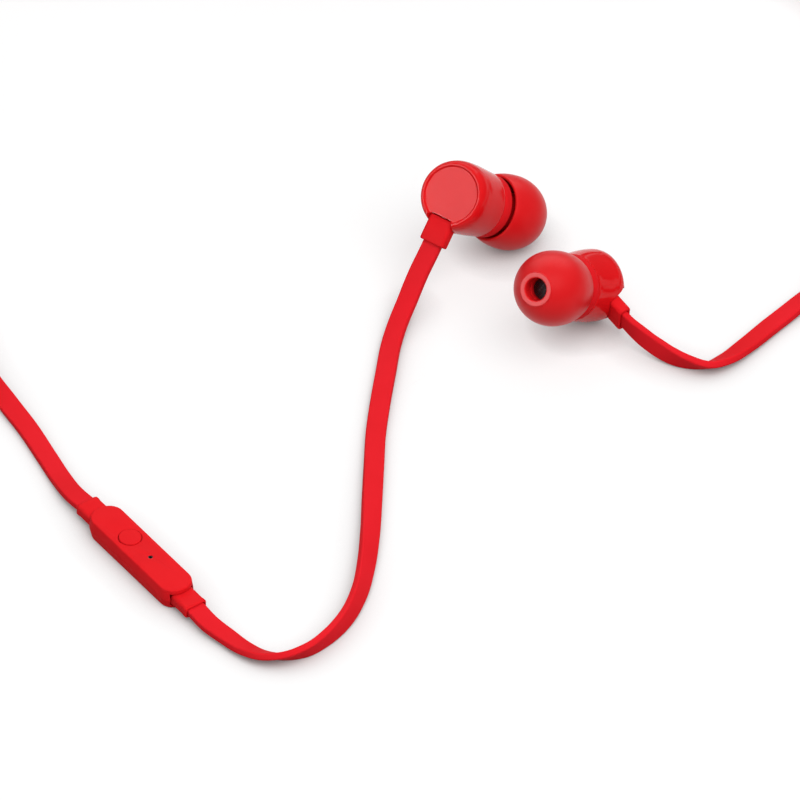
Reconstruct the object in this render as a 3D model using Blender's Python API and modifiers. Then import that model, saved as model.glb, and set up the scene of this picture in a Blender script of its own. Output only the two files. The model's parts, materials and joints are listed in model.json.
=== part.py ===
"""Wired in-ear earphones: two earbuds, flat cables, an in-line remote, a splitter and a jack plug.

Units are metres and +Z is up. The set lies on the surface z = 0. The origin is the middle of
the remote's underside. Profiles and routes are written in millimetres and scaled by MM.
"""

import math

import bmesh
import bpy
import numpy as np
from mathutils import Matrix, Vector

MM = 0.001
QUARTER_TURN = math.pi / 2

# Earbud, along its own bent axis from the rear face (z = 0) to the end of the ear tip
SHELL_RADIUS = 5.9
SHELL_WIDEST = (3.6, 2.6)
SHELL_SEAM_RADIUS = 5.4
SHELL_LENGTH = 9.0
SHELL_FLOOR = 1.0
RIM_RADIUS = 5.0
RIM_WIDTH = 0.25
FACE_RECESS = 0.3
BEND_START = 2.6
BEND_END = 5.7
BEND_ANGLE = math.radians(19.2)
DRIVER_LEDGE = 5.9
SPIGOT_RADIUS = 4.7
SPIGOT_LOW = 8.35
FRONT_RADIUS = 5.35
SHOULDER_Z = 11.2
NOZZLE_RADIUS = 2.5
NOZZLE_BORE = 1.85
NOZZLE_END = 19.6
TIP_RADIUS = 6.15
TIP_RIM_RADIUS = 5.55
TIP_RIM_Z = 11.8
TIP_WIDEST_Z = 15.6
TIP_END_Z = 21.8
TIP_END_RADIUS = 2.83
TIP_END_RISE = 0.2
TIP_WALL = 0.6
TIP_BORE = 1.85
RELIEF_WIDTH = 4.6
RELIEF_INNER = 4.0
RELIEF_OUTER = 8.5
RELIEF_LOW = 0.7
RELIEF_THICK = 2.2
TWIST_START = 5.6
TWIST_END = 7.7
NOTCH_GAP = 0.15

# Where each earbud lies: middle of the rear face, direction of its axis there, direction of the
# cable, the direction in which the nozzle is angled, as a turn from the cable's direction, and
# the twist of the soft strain relief by the cable's pull
LEFT_PLACE = (49.694, 70.92, 16.6)
LEFT_AXIS = Vector((0.3921, 0.5859, -0.7092))
LEFT_EXIT_AXIS = Vector((-0.4221, -0.5704, -0.7046))
LEFT_BEND_TURN = math.radians(-101.8)
LEFT_TWIST = 0.0
RIGHT_PLACE = (74.0, 62.349, 4.935)
RIGHT_AXIS = Vector((-0.6974, -0.6036, 0.3864))
RIGHT_EXIT_AXIS = Vector((0.5894, -0.7898, -0.1698))
RIGHT_BEND_TURN = math.radians(55.6)
RIGHT_TWIST = math.radians(26)

# Moving-coil driver
MAGNET_RADIUS = 2.6
COIL_INNER = 2.95
COIL_OUTER = 3.2
YOKE_INNER = 3.4
YOKE_OUTER = 3.8
DRIVER_RADIUS = 4.5

# Remote, lying flat with its length along the direction REMOTE_HEADING
REMOTE_LENGTH = 24.0
REMOTE_WIDTH = 6.0
REMOTE_TOP_WIDTH = 5.6
REMOTE_HEIGHT = 3.8
REMOTE_PARTING = 1.85
REMOTE_CORNER = 2.5
REMOTE_WALL = 0.7
REMOTE_HEADING = math.atan2(-0.815, 0.579)
REMOTE_RELIEF = (3.3, 4.1, 2.1)
BUTTON_RADIUS = 1.85
BUTTON_FLANGE = 2.1
BUTTON_X = -3.1
MIC_X = 2.6
MIC_HOLE = 0.4

# Flat cable: width, thickness and the chamfer of its long edges
CABLE_WIDTH = 3.3
CABLE_THICK = 1.2
CABLE_CHAMFER = 0.35
CABLE_STEP = 6.5
CABLE_REST = 0.06
MEET_GAP = 0.3

# Splitter, leads entering from the left along +X
SPLITTER_START = -20.0
SPLITTER_LENGTH = 10.0
SPLITTER_Y = 159.25
LEAD_SPREAD = 2.5
SPLITTER_HALF = 2.2
SPLITTER_GAP = 0.2

# Hank of the main cable: a racetrack spiral in two layers, with the cable on its edge
HANK_CENTRE = (40.0, 158.0)
HANK_RUN = 40.0
HANK_OUTER = 12.5
HANK_PITCH = 2.0
HANK_LOOPS = 6
HANK_RUN_STEPS = 4
HANK_END_STEPS = 8
HANK_WAIST = 2.5
HANK_LIFT = 0.5
HANK_LAYER = 4.0

# Plug, lying along +X
PLUG_START = (80.0, 170.5, 3.4)
PLUG_RELIEF = 7.0
PLUG_BODY = 13.7
PLUG_RADIUS = 3.3
JACK_RADIUS = 1.75
JACK_CORE = 0.95

ROUND = 32
SMALL_ROUND = 18


def clear_scene():
    for obj in list(bpy.data.objects):
        bpy.data.objects.remove(obj, do_unlink=True)


def new_collection(name):
    group = bpy.data.collections.new(name)
    bpy.context.scene.collection.children.link(group)
    return group


def finish(name, colour, roughness, metallic=0.0):
    material = bpy.data.materials.new(name)
    material.use_nodes = True
    shader = material.node_tree.nodes["Principled BSDF"]
    shader.inputs["Base Color"].default_value = (*colour, 1.0)
    shader.inputs["Roughness"].default_value = roughness
    shader.inputs["Metallic"].default_value = metallic
    return material


def add_part(obj, material, parent):
    PARTS.objects.link(obj)
    obj.data.materials.append(material)
    obj.parent = parent
    return obj


def add_cutter(obj, parent):
    CUTTERS.objects.link(obj)
    obj.parent = parent
    obj.hide_render = True
    obj.display_type = "WIRE"
    return obj


def add_frame(name, matrix):
    frame = bpy.data.objects.new(name, None)
    PARTS.objects.link(frame)
    frame.matrix_world = matrix
    return frame


def cut(target, cutter):
    boolean = target.modifiers.new("Cut", "BOOLEAN")
    boolean.operation = "DIFFERENCE"
    boolean.object = cutter


def arc(centre, radius, start, end, steps):
    """Points of an arc, with angles in degrees from +X towards +Z."""
    angles = [math.radians(start + (end - start) * i / steps) for i in range(steps + 1)]
    return [(centre[0] + radius * math.cos(a), centre[1] + radius * math.sin(a)) for a in angles]


def turned(name, profile, segments=SMALL_ROUND, closed=False):
    """A piece turned about its own Z axis from (radius, height) points."""
    points = [(radius * MM, 0.0, height * MM) for radius, height in profile]
    edges = [(i, i + 1) for i in range(len(points) - 1)]
    if closed:
        edges.append((len(points) - 1, 0))
    mesh = bpy.data.meshes.new(name)
    mesh.from_pydata(points, edges, [])
    obj = bpy.data.objects.new(name, mesh)
    screw = obj.modifiers.new("Turn", "SCREW")
    screw.steps = segments
    screw.render_steps = segments
    screw.use_merge_vertices = True
    screw.merge_threshold = 0.00001
    screw.use_smooth_shade = True
    return obj


def ring(name, inner, outer, low, high, segments=SMALL_ROUND):
    profile = [(inner, high), (outer, high), (outer, low), (inner, low)]
    return turned(name, profile, segments, closed=True)


def disc(name, radius, low, high, segments=SMALL_ROUND):
    profile = [(0.0, high), (radius, high), (radius, low), (0.0, low)]
    return turned(name, profile, segments)


def block(name, bottom, top, height, corner, rim, rim_faces="top"):
    """A moulded block on z = 0: its four upright edges rounded by corner, its rims by rim."""
    bm = bmesh.new()
    bmesh.ops.create_cube(bm, size=1.0)
    for vert in bm.verts:
        length, width = top if vert.co.z > 0 else bottom
        vert.co.x *= length * MM
        vert.co.y *= width * MM
        vert.co.z = (vert.co.z + 0.5) * height * MM
    half = height * MM / 2
    upright = [e for e in bm.edges if (e.verts[0].co.z > half) != (e.verts[1].co.z > half)]
    bmesh.ops.bevel(bm, geom=upright, offset=corner * MM, segments=4, profile=0.5, affect="EDGES")
    if rim:
        rims = [e for e in bm.edges if all(v.co.z > half for v in e.verts)]
        if rim_faces == "both":
            rims += [e for e in bm.edges if all(v.co.z < half for v in e.verts)]
        bmesh.ops.bevel(bm, geom=rims, offset=rim * MM, segments=2, profile=0.5, affect="EDGES")
    bmesh.ops.recalc_face_normals(bm, faces=bm.faces)
    mesh = bpy.data.meshes.new(name)
    bm.to_mesh(mesh)
    bm.free()
    mesh.shade_smooth()
    mesh.set_sharp_from_angle(angle=math.radians(35))
    return bpy.data.objects.new(name, mesh)


def placed(obj, x, y, z, rotation=(0.0, 0.0, 0.0)):
    obj.location = (x * MM, y * MM, z * MM)
    obj.rotation_euler = rotation
    return obj


def cable_section():
    """Corners of the flat cable's section: x across its width, y across its thickness."""
    x, y, c = CABLE_WIDTH / 2, CABLE_THICK / 2, CABLE_CHAMFER
    right = [(x - c, y), (x, y - c), (x, -y + c), (x - c, -y)]
    return right + [(-px, -py) for px, py in right]


def lying_height(turn):
    """Height of the cable's middle when its lowest edge is on the surface."""
    reach = max(x * math.sin(turn) + y * math.cos(turn) for x, y in cable_section())
    return reach + CABLE_REST


def smooth_route(rows, step):
    """Samples (position, turn) of a smooth curve through (x, y, lift, turn in degrees) rows.

    The stretch between the first two rows stays straight, and so does the one between the last two.
    """
    finer = 24
    knots = np.array([rows[0], *rows, rows[-1]], float)
    knots[0] = 2 * knots[1] - knots[2]
    knots[-1] = 2 * knots[-2] - knots[-3]
    dense = []
    for p0, p1, p2, p3 in zip(knots, knots[1:], knots[2:], knots[3:]):
        for t in np.linspace(0, 1, finer, endpoint=False):
            slope_1 = (p2 - p0) / 2
            slope_2 = (p3 - p1) / 2
            dense.append(
                (2 * t**3 - 3 * t**2 + 1) * p1
                + (t**3 - 2 * t**2 + t) * slope_1
                + (3 * t**2 - 2 * t**3) * p2
                + (t**3 - t**2) * slope_2
            )
    dense = np.array([*dense, knots[-2]])
    along = np.concatenate([[0], np.cumsum(np.linalg.norm(np.diff(dense[:, :3], axis=0), axis=1))])
    first, last = along[finer], along[-1 - finer]
    between = np.linspace(first, last, max(2, round((last - first) / step) + 1))
    stations = [0.0, *between, along[-1]]
    table = np.stack([np.interp(stations, along, dense[:, i]) for i in range(4)], axis=1)
    samples = []
    for x, y, lift, degrees in table:
        turn = math.radians(degrees)
        samples.append((Vector((x, y, lift + lying_height(turn))), turn))
    return samples


def route_length(samples):
    return sum((b[0] - a[0]).length for a, b in zip(samples, samples[1:]))


def ribbon(name, samples, material):
    """The flat cable along (position in mm, turn about its own length) samples."""
    profile = bpy.data.curves.new(name + "_section", "CURVE")
    outline = profile.splines.new("POLY")
    corners = cable_section()
    outline.points.add(len(corners) - 1)
    for point, (x, y) in zip(outline.points, corners):
        point.co = (x * MM, y * MM, 0.0, 1.0)
    outline.use_cyclic_u = True
    section = add_cutter(bpy.data.objects.new(name + "_section", profile), None)

    curve = bpy.data.curves.new(name, "CURVE")
    curve.dimensions = "3D"
    curve.twist_mode = "Z_UP"
    curve.bevel_mode = "OBJECT"
    curve.bevel_object = section
    curve.use_fill_caps = True
    spline = curve.splines.new("POLY")
    spline.points.add(len(samples) - 1)
    for point, (position, turn) in zip(spline.points, samples):
        point.co = (*(position * MM), 1.0)
        point.tilt = -turn
    print(f"{name}: {route_length(samples):.0f} mm of flat cable")
    return add_part(bpy.data.objects.new(name, curve), material, None)


def earbud_frame(name, place, axis, exit_axis):
    """An empty at the rear face: its Z axis towards the front and its X axis along the cable."""
    z = axis.normalized()
    y = z.cross(exit_axis).normalized()
    x = y.cross(z)
    turn = Matrix((x, y, z)).transposed().to_4x4()
    return add_frame(name, Matrix.Translation(Vector(place) * MM) @ turn)


def bend_matrix(height, bend_turn):
    """Placement of a slice at a height (mm) along the bent axis, in the earbud's frame."""
    span = BEND_END - BEND_START
    radius = span / BEND_ANGLE
    angle = BEND_ANGLE * min(max((height - BEND_START) / span, 0.0), 1.0)
    side = radius * (1 - math.cos(angle))
    rise = min(height, BEND_START) + radius * math.sin(angle)
    beyond = max(height - BEND_END, 0.0)
    middle = Vector((side + beyond * math.sin(angle), 0.0, rise + beyond * math.cos(angle))) * MM
    heading = Matrix.Rotation(bend_turn, 4, "Z")
    return heading @ Matrix.Translation(middle) @ Matrix.Rotation(angle, 4, "Y") @ heading.inverted()


def bent(obj, bend_turn):
    """The turned piece as a mesh, with its slices set along the bent axis."""
    PARTS.objects.link(obj)
    depsgraph = bpy.context.evaluated_depsgraph_get()
    mesh = bpy.data.meshes.new_from_object(obj.evaluated_get(depsgraph))
    name = obj.name
    bpy.data.objects.remove(obj, do_unlink=True)
    for vert in mesh.vertices:
        x, y, z = vert.co
        vert.co = bend_matrix(z / MM, bend_turn) @ Vector((x, y, 0.0))
    mesh.shade_smooth()
    mesh.set_sharp_from_angle(angle=math.radians(40))
    return bpy.data.objects.new(name, mesh)


def rear_shell(side, frame, bend_turn):
    """Glossy barrel, angled forward: raised rim round a shallow recessed face, ledge inside."""
    lip = RIM_RADIUS - RIM_WIDTH
    inner = SPIGOT_RADIUS + 0.1
    front_wide, rear_wide = SHELL_WIDEST
    profile = [
        (0.0, SHELL_FLOOR),
        (4.3, SHELL_FLOOR),
        (4.3, BEND_START),
        (4.3, (BEND_START + BEND_END) / 2),
        (4.3, DRIVER_LEDGE),
        (inner, DRIVER_LEDGE),
        (inner, SHELL_LENGTH),
        (SHELL_SEAM_RADIUS - 0.1, SHELL_LENGTH),
    ]
    taper = SHELL_LENGTH - 0.15 - front_wide
    for share in (1.0, 0.7, 0.4, 0.2, 0.0):
        narrower = (SHELL_RADIUS - SHELL_SEAM_RADIUS) * share**1.5
        profile.append((SHELL_RADIUS - narrower, front_wide + taper * share))
    for degrees in (90, 65, 45, 28, 13, 0):
        a = math.radians(degrees)
        swell = (SHELL_RADIUS - RIM_RADIUS) * math.sin(a)
        profile.append((RIM_RADIUS + swell, rear_wide * (1 - math.cos(a))))
    profile += [(lip, 0.0), (lip - 0.3, FACE_RECESS * 0.75), (lip - 0.8, FACE_RECESS)]
    profile += [(0.0, FACE_RECESS * 0.6)]
    shell = bent(turned(f"{side}_rear_shell", profile, ROUND), bend_turn)
    add_part(shell, GLOSS_RED, frame)
    length = RELIEF_OUTER - RELIEF_INNER + 2.0
    width = RELIEF_WIDTH + 2 * NOTCH_GAP
    depth = RELIEF_LOW + RELIEF_THICK + NOTCH_GAP + 1.0
    notch = block(f"{side}_notch", (length, width), (length, width), depth, 0.95, 0.0)
    middle = RELIEF_INNER - NOTCH_GAP + length / 2
    cut(shell, add_cutter(placed(notch, middle, 0.0, -1.0), frame))


def front_shell(side, frame):
    """Satin front half: spigot into the cup, tapered band, domed shoulder and sound nozzle."""
    seam = SHELL_LENGTH + 0.1
    spigot_inner = SPIGOT_RADIUS - 0.65
    profile = [
        (NOZZLE_BORE, NOZZLE_END),
        (NOZZLE_RADIUS - 0.15, NOZZLE_END),
        (NOZZLE_RADIUS, NOZZLE_END - 0.2),
        (NOZZLE_RADIUS, SHOULDER_Z + 0.9),
        (NOZZLE_RADIUS + 0.4, SHOULDER_Z + 0.45),
    ]
    profile += arc((FRONT_RADIUS - 1.0, SHOULDER_Z - 0.6), 0.8, 80, 10, 4)
    profile += [
        (FRONT_RADIUS - 0.05, seam + 0.5),
        (FRONT_RADIUS, seam),
        (SPIGOT_RADIUS, seam),
        (SPIGOT_RADIUS, SPIGOT_LOW),
        (spigot_inner, SPIGOT_LOW),
        (spigot_inner, seam + 0.3),
        (2.6, SHOULDER_Z - 0.5),
        (NOZZLE_BORE, SHOULDER_Z + 0.3),
    ]
    add_part(turned(f"{side}_front_shell", profile, ROUND, closed=True), SATIN_RED, frame)
    screen = disc(f"{side}_nozzle_screen", NOZZLE_BORE - 0.1, NOZZLE_END - 0.9, NOZZLE_END - 0.65)
    add_part(screen, STEEL, frame)


def ear_tip(side, frame):
    """Soft tip: domed skirt open at the rear, inner sleeve on the nozzle, end ring and bore."""
    last = math.acos(TIP_END_RADIUS / TIP_RADIUS)
    tall = (TIP_END_Z - TIP_END_RISE - TIP_WIDEST_Z) / math.sin(last)
    profile = [(TIP_BORE, TIP_END_Z - 0.15), (TIP_BORE + 0.2, TIP_END_Z), (TIP_END_RADIUS - 0.15, TIP_END_Z)]
    for i in range(7):
        a = last * (1 - i / 7)
        profile.append((TIP_RADIUS * math.cos(a), TIP_WIDEST_Z + tall * math.sin(a)))
    sleeve_inner = NOZZLE_RADIUS + 0.1
    sleeve_outer = sleeve_inner + 0.7
    roof = TIP_END_Z - 1.7
    inside = TIP_RADIUS - TIP_WALL
    profile += [
        (TIP_RADIUS, TIP_WIDEST_Z),
        (TIP_RADIUS - 0.1, TIP_WIDEST_Z - 1.4),
        (TIP_RADIUS - 0.38, TIP_WIDEST_Z - 2.8),
        (TIP_RIM_RADIUS, TIP_RIM_Z),
        (TIP_RIM_RADIUS - TIP_WALL, TIP_RIM_Z),
        (inside - 0.15, TIP_WIDEST_Z - 1.4),
        (inside, TIP_WIDEST_Z),
        (inside - 0.4, TIP_WIDEST_Z + 2.2),
        (4.4, roof - 0.5),
        (sleeve_outer + 0.3, roof),
        (sleeve_outer, roof - 0.4),
        (sleeve_outer, TIP_RIM_Z + 1.0),
        (sleeve_inner, TIP_RIM_Z + 1.0),
        (sleeve_inner, NOZZLE_END + 0.1),
        (TIP_BORE, NOZZLE_END + 0.35),
    ]
    add_part(turned(f"{side}_ear_tip", profile, ROUND, closed=True), SILICONE_RED, frame)


def strain_relief(side, frame, twist):
    """Soft sleeve in the notch, straight in the shell and twisted with the cable outside it."""
    size = (RELIEF_OUTER - RELIEF_INNER, RELIEF_WIDTH)
    relief = block(f"{side}_strain_relief", size, size, RELIEF_THICK, 0.8, 0.5, "both")
    middle = Vector(((RELIEF_INNER + RELIEF_OUTER) / 2, 0.0, RELIEF_LOW)) * MM
    bm = bmesh.new()
    bm.from_mesh(relief.data)
    bmesh.ops.translate(bm, verts=bm.verts, vec=middle)
    cuts = 4 if twist else 0
    for i in range(cuts):
        x = TWIST_START + (TWIST_END - TWIST_START) * i / (cuts - 1)
        faces = [*bm.verts, *bm.edges, *bm.faces]
        bmesh.ops.bisect_plane(bm, geom=faces, plane_co=(x * MM, 0.0, 0.0), plane_no=(1.0, 0.0, 0.0))
    centre = Vector((0.0, 0.0, RELIEF_LOW + RELIEF_THICK / 2)) * MM
    for vert in bm.verts:
        share = (vert.co.x / MM - TWIST_START) / (TWIST_END - TWIST_START)
        turn = Matrix.Rotation(twist * min(max(share, 0.0), 1.0), 3, "X")
        vert.co = turn @ (vert.co - centre) + centre
    bm.to_mesh(relief.data)
    bm.free()
    add_part(relief, SATIN_RED, frame)


def driver(side, frame):
    """Moving-coil driver on the ledge of the rear shell, facing the nozzle."""
    gap = 0.1
    rest = DRIVER_LEDGE + gap
    base = rest - 0.7
    yoke = [
        (0.0, base + 0.5),
        (YOKE_INNER, base + 0.5),
        (YOKE_INNER, base + 2.2),
        (YOKE_OUTER, base + 2.2),
        (YOKE_OUTER, base),
        (0.0, base),
    ]
    add_part(turned(f"{side}_yoke", yoke), STEEL, frame)
    magnet_top = base + 1.7
    magnet = disc(f"{side}_magnet", MAGNET_RADIUS, base + 0.5 + gap, magnet_top)
    add_part(magnet, MAGNET, frame)
    plate = disc(f"{side}_top_plate", MAGNET_RADIUS + 0.1, magnet_top + gap, base + 2.2)
    add_part(plate, STEEL, frame)
    basket = ring(f"{side}_driver_frame", YOKE_OUTER + 0.15, DRIVER_RADIUS, rest, base + 2.55)
    add_part(basket, BLACK_PLASTIC, frame)
    coil = ring(f"{side}_voice_coil", COIL_INNER, COIL_OUTER, base + 1.5, base + 2.6)
    add_part(coil, COPPER, frame)
    rim = base + 2.7
    dome = [(0.0, rim + 0.75), (1.2, rim + 0.65), (2.3, rim + 0.4), (COIL_OUTER, rim + 0.12)]
    dome += [(COIL_OUTER, rim), (2.2, rim + 0.25), (1.2, rim + 0.5), (0.0, rim + 0.6)]
    add_part(turned(f"{side}_diaphragm_dome", dome), FILM, frame)
    edge = [(COIL_OUTER + 0.2, rim + 0.12), (3.8, rim + 0.3), (4.1, rim + 0.2), (4.4, rim + 0.12)]
    edge += [(4.4, rim - 0.05), (4.1, rim - 0.05), (3.8, rim + 0.12), (COIL_OUTER + 0.2, rim - 0.02)]
    add_part(turned(f"{side}_surround", edge, closed=True), FILM, frame)
    board = disc(f"{side}_terminal_board", 2.4, base - 0.6, base - 0.2)
    add_part(board, BOARD_GREEN, frame)


def earbud(side, place, axis, exit_axis, bend_turn, twist):
    """One earbud: the barrel is on its rear frame, all that is angled forward on its front frame."""
    rear = earbud_frame(f"{side}_earbud", place, axis, exit_axis)
    straight = Matrix.Translation((0.0, 0.0, -BEND_END * MM))
    front = add_frame(f"{side}_front", rear.matrix_world @ bend_matrix(BEND_END, bend_turn) @ straight)
    rear_shell(side, rear, bend_turn)
    strain_relief(side, rear, twist)
    front_shell(side, front)
    ear_tip(side, front)
    driver(side, front)
    return rear


def remote_shells(frame):
    """Two shells that meet at mid height, where the remote is widest."""
    low = (REMOTE_LENGTH - 0.4, REMOTE_TOP_WIDTH)
    base = (REMOTE_LENGTH - 0.2, REMOTE_WIDTH - 0.2)
    wide = (REMOTE_LENGTH, REMOTE_WIDTH)
    seam = 0.05
    bottom = block("remote_bottom_shell", base, wide, REMOTE_PARTING - seam, REMOTE_CORNER, 0.0)
    add_part(bottom, SATIN_RED, frame)
    rise = REMOTE_HEIGHT - REMOTE_PARTING - seam
    top = block("remote_top_shell", wide, low, rise, REMOTE_CORNER, 0.2)
    add_part(placed(top, 0.0, 0.0, REMOTE_PARTING + seam), SATIN_RED, frame)

    inside = (REMOTE_LENGTH - 2.4, REMOTE_TOP_WIDTH - 1.2)
    tall = REMOTE_HEIGHT - 2 * REMOTE_WALL + 0.1
    hollow = block("remote_hollow", inside, inside, tall, 1.9, 0.0)
    add_cutter(placed(hollow, 0.0, 0.0, REMOTE_WALL - 0.1), frame)
    long, wide, thick = REMOTE_RELIEF
    passage = (REMOTE_LENGTH + 4.0, wide + 0.3)
    slot = block("remote_cable_slot", passage, passage, thick + 0.3, 0.3, 0.0)
    add_cutter(placed(slot, 0.0, 0.0, REMOTE_PARTING - thick / 2 - 0.15), frame)
    button_hole = disc("remote_button_hole", BUTTON_RADIUS + 0.1, 0.0, 3.0, ROUND)
    add_cutter(placed(button_hole, BUTTON_X, 0.0, REMOTE_PARTING + 0.5), frame)
    mic_hole = disc("remote_mic_hole", MIC_HOLE, 0.0, 3.0, 12)
    add_cutter(placed(mic_hole, MIC_X, 0.0, REMOTE_PARTING + 0.5), frame)
    for cutter in (hollow, slot):
        cut(bottom, cutter)
        cut(top, cutter)
    cut(top, button_hole)
    cut(top, mic_hole)


def remote_reliefs(frame):
    long, wide, thick = REMOTE_RELIEF
    seated = long + 0.9
    for name, way in (("remote_relief_lower", 1), ("remote_relief_upper", -1)):
        relief = block(name, (seated, wide), (seated, wide), thick, 0.5, 0.45, "both")
        middle = way * (REMOTE_LENGTH / 2 + long - seated / 2)
        add_part(placed(relief, middle, 0.0, REMOTE_PARTING - thick / 2), SATIN_RED, frame)


def remote_inside(frame):
    """Board with the switch and the microphone, and the button that presses the switch."""
    board = block("circuit_board", (18.0, 3.0), (18.0, 3.0), 0.4, 0.3, 0.0)
    add_part(placed(board, 0.0, 0.0, REMOTE_WALL), BOARD_GREEN, frame)
    base = block("switch_base", (2.8, 2.8), (2.8, 2.8), 0.75, 0.2, 0.0)
    add_part(placed(base, BUTTON_X, 0.0, 1.2), BLACK_PLASTIC, frame)
    well = disc("switch_well", 0.85, 0.2, 1.5)
    add_cutter(placed(well, BUTTON_X, 0.0, 1.2), frame)
    cut(base, well)
    plunger = disc("switch_plunger", 0.7, 0.0, 0.7)
    add_part(placed(plunger, BUTTON_X, 0.0, 1.7), BLACK_PLASTIC, frame)
    crown = REMOTE_HEIGHT + 0.02 - 2.5
    profile = [(0.0, crown), (BUTTON_RADIUS - 0.5, crown - 0.02), (BUTTON_RADIUS - 0.1, crown - 0.05)]
    profile += [(BUTTON_RADIUS, crown - 0.15), (BUTTON_RADIUS, 0.3), (BUTTON_FLANGE, 0.3)]
    profile += [(BUTTON_FLANGE, 0.0), (0.0, 0.0)]
    button = turned("remote_button", profile, ROUND)
    add_part(placed(button, BUTTON_X, 0.0, 2.5), SATIN_RED, frame)
    microphone = disc("microphone", 1.2, 0.0, 1.2)
    add_part(placed(microphone, MIC_X, 0.0, 1.2), STEEL, frame)


def remote():
    frame = add_frame("remote", Matrix.Rotation(REMOTE_HEADING, 4, "Z"))
    remote_shells(frame)
    remote_reliefs(frame)
    remote_inside(frame)
    return frame


def splitter():
    """Two glued half shells that taper from the two leads to the main cable."""
    wide, narrow = 6.4, 4.4
    middle = SPLITTER_HALF + SPLITTER_GAP / 2
    for name, height in (("splitter_lower_shell", middle - 1.2), ("splitter_upper_shell", middle + 1.2)):
        half = block(name, (SPLITTER_HALF, wide), (SPLITTER_HALF, narrow), SPLITTER_LENGTH, 0.6, 0.4, "both")
        placed(half, SPLITTER_START, SPLITTER_Y, height, (0.0, QUARTER_TURN, 0.0))
        add_part(half, SATIN_RED, None)


def plug():
    """Straight four-pole plug: grip, oval cable relief and the stacked contacts of the jack."""
    x, y, z = PLUG_START
    along_x = Matrix.Rotation(QUARTER_TURN, 4, "Y")
    frame = add_frame("plug", Matrix.Translation(Vector((x, y, z)) * MM) @ along_x)
    relief = block("plug_relief", (4.3, 2.5), (5.0, 4.2), PLUG_RELIEF, 0.9, 0.4, "both")
    add_part(relief, SATIN_RED, frame)

    back = PLUG_RELIEF + 0.15
    front = back + PLUG_BODY
    body = [(JACK_RADIUS + 0.15, front), (PLUG_RADIUS - 0.7, front), (PLUG_RADIUS - 0.3, front - 0.4)]
    body += [(PLUG_RADIUS, front - 3.0), (PLUG_RADIUS, front - 3.3), (PLUG_RADIUS - 0.25, front - 3.5)]
    body += [(PLUG_RADIUS - 0.25, front - 4.0), (PLUG_RADIUS, front - 4.2), (PLUG_RADIUS, back + 0.8)]
    body += [(PLUG_RADIUS - 0.5, back), (0.0, back)]
    bore = [(0.0, front - 3.0), (JACK_RADIUS + 0.15, front - 3.0)]
    add_part(turned("plug_body", bore + body, 24), SATIN_RED, frame)

    contacts = {
        "jack_sleeve": (-2.8, 5.2),
        "jack_inner_ring": (6.0, 7.6),
        "jack_outer_ring": (8.4, 9.9),
    }
    for name, (low, high) in contacts.items():
        contact = ring(name, JACK_CORE + 0.1, JACK_RADIUS, front + low, front + high)
        add_part(contact, NICKEL, frame)
    core = [(0.0, front + 10.6)]
    for low, high in ((10.0, 10.6), (7.7, 8.3), (5.3, 5.9)):
        core += [(JACK_RADIUS - 0.06, front + high), (JACK_RADIUS - 0.06, front + low)]
        core += [(JACK_CORE, front + low), (JACK_CORE, front + low - 1.7 if low > 6 else front - 2.6)]
    core += [(0.0, front - 2.6)]
    add_part(turned("jack_core", core), BLACK_PLASTIC, frame)
    point = front + 10.7
    nose = [(0.0, point + 3.3), (0.5, point + 3.2), (1.0, point + 2.7), (JACK_RADIUS, point + 1.7)]
    nose += [(1.15, point + 0.9), (1.1, point + 0.6), (JACK_RADIUS - 0.1, point + 0.25)]
    nose += [(JACK_RADIUS - 0.1, point), (0.0, point)]
    add_part(turned("jack_tip", nose), NICKEL, frame)


def exit_rows(frame, twist, near_turn):
    """First two rows of a cable that leaves an earbud's strain relief straight, wide side along it."""
    ahead, side, front = (frame.matrix_world.to_3x3().col[i] for i in range(3))
    across = side * math.cos(twist) + front * math.sin(twist)
    level = ahead.cross(Vector((0.0, 0.0, 1.0))).normalized()
    turn = math.degrees(math.atan2(across.dot(level.cross(ahead)), across.dot(level)))
    turn += 180 * round((near_turn - turn) / 180)
    rows = []
    for reach in (MEET_GAP, MEET_GAP + CABLE_WIDTH):
        local = Vector((RELIEF_OUTER + reach, 0.0, RELIEF_LOW + RELIEF_THICK / 2)) * MM
        point = frame.matrix_world @ local / MM
        rows.append((point.x, point.y, point.z - lying_height(math.radians(turn)), turn))
    return rows


def remote_rows(way, turn):
    """Two rows of a cable that meets an end of the remote, the nearer row first."""
    rows = []
    for reach in (MEET_GAP, MEET_GAP + CABLE_WIDTH):
        x = way * (REMOTE_LENGTH / 2 + REMOTE_RELIEF[0] + reach)
        sink = 0.0 if reach == MEET_GAP else 0.35
        lift = REMOTE_PARTING - lying_height(math.radians(turn)) - sink
        rows.append((x * math.cos(REMOTE_HEADING), x * math.sin(REMOTE_HEADING), lift, turn))
    return rows


def splitter_rows(side, outside):
    """Two rows of a cable on its edge that meets the splitter, the nearer row first."""
    lift = SPLITTER_HALF + SPLITTER_GAP / 2 - CABLE_WIDTH / 2
    face = SPLITTER_START if outside < 0 else SPLITTER_START + SPLITTER_LENGTH
    near = face + outside * MEET_GAP
    y = SPLITTER_Y + side * LEAD_SPREAD / 2
    return [(near, y, lift, 90), (near + outside * CABLE_WIDTH, y, lift, 90)]


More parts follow.
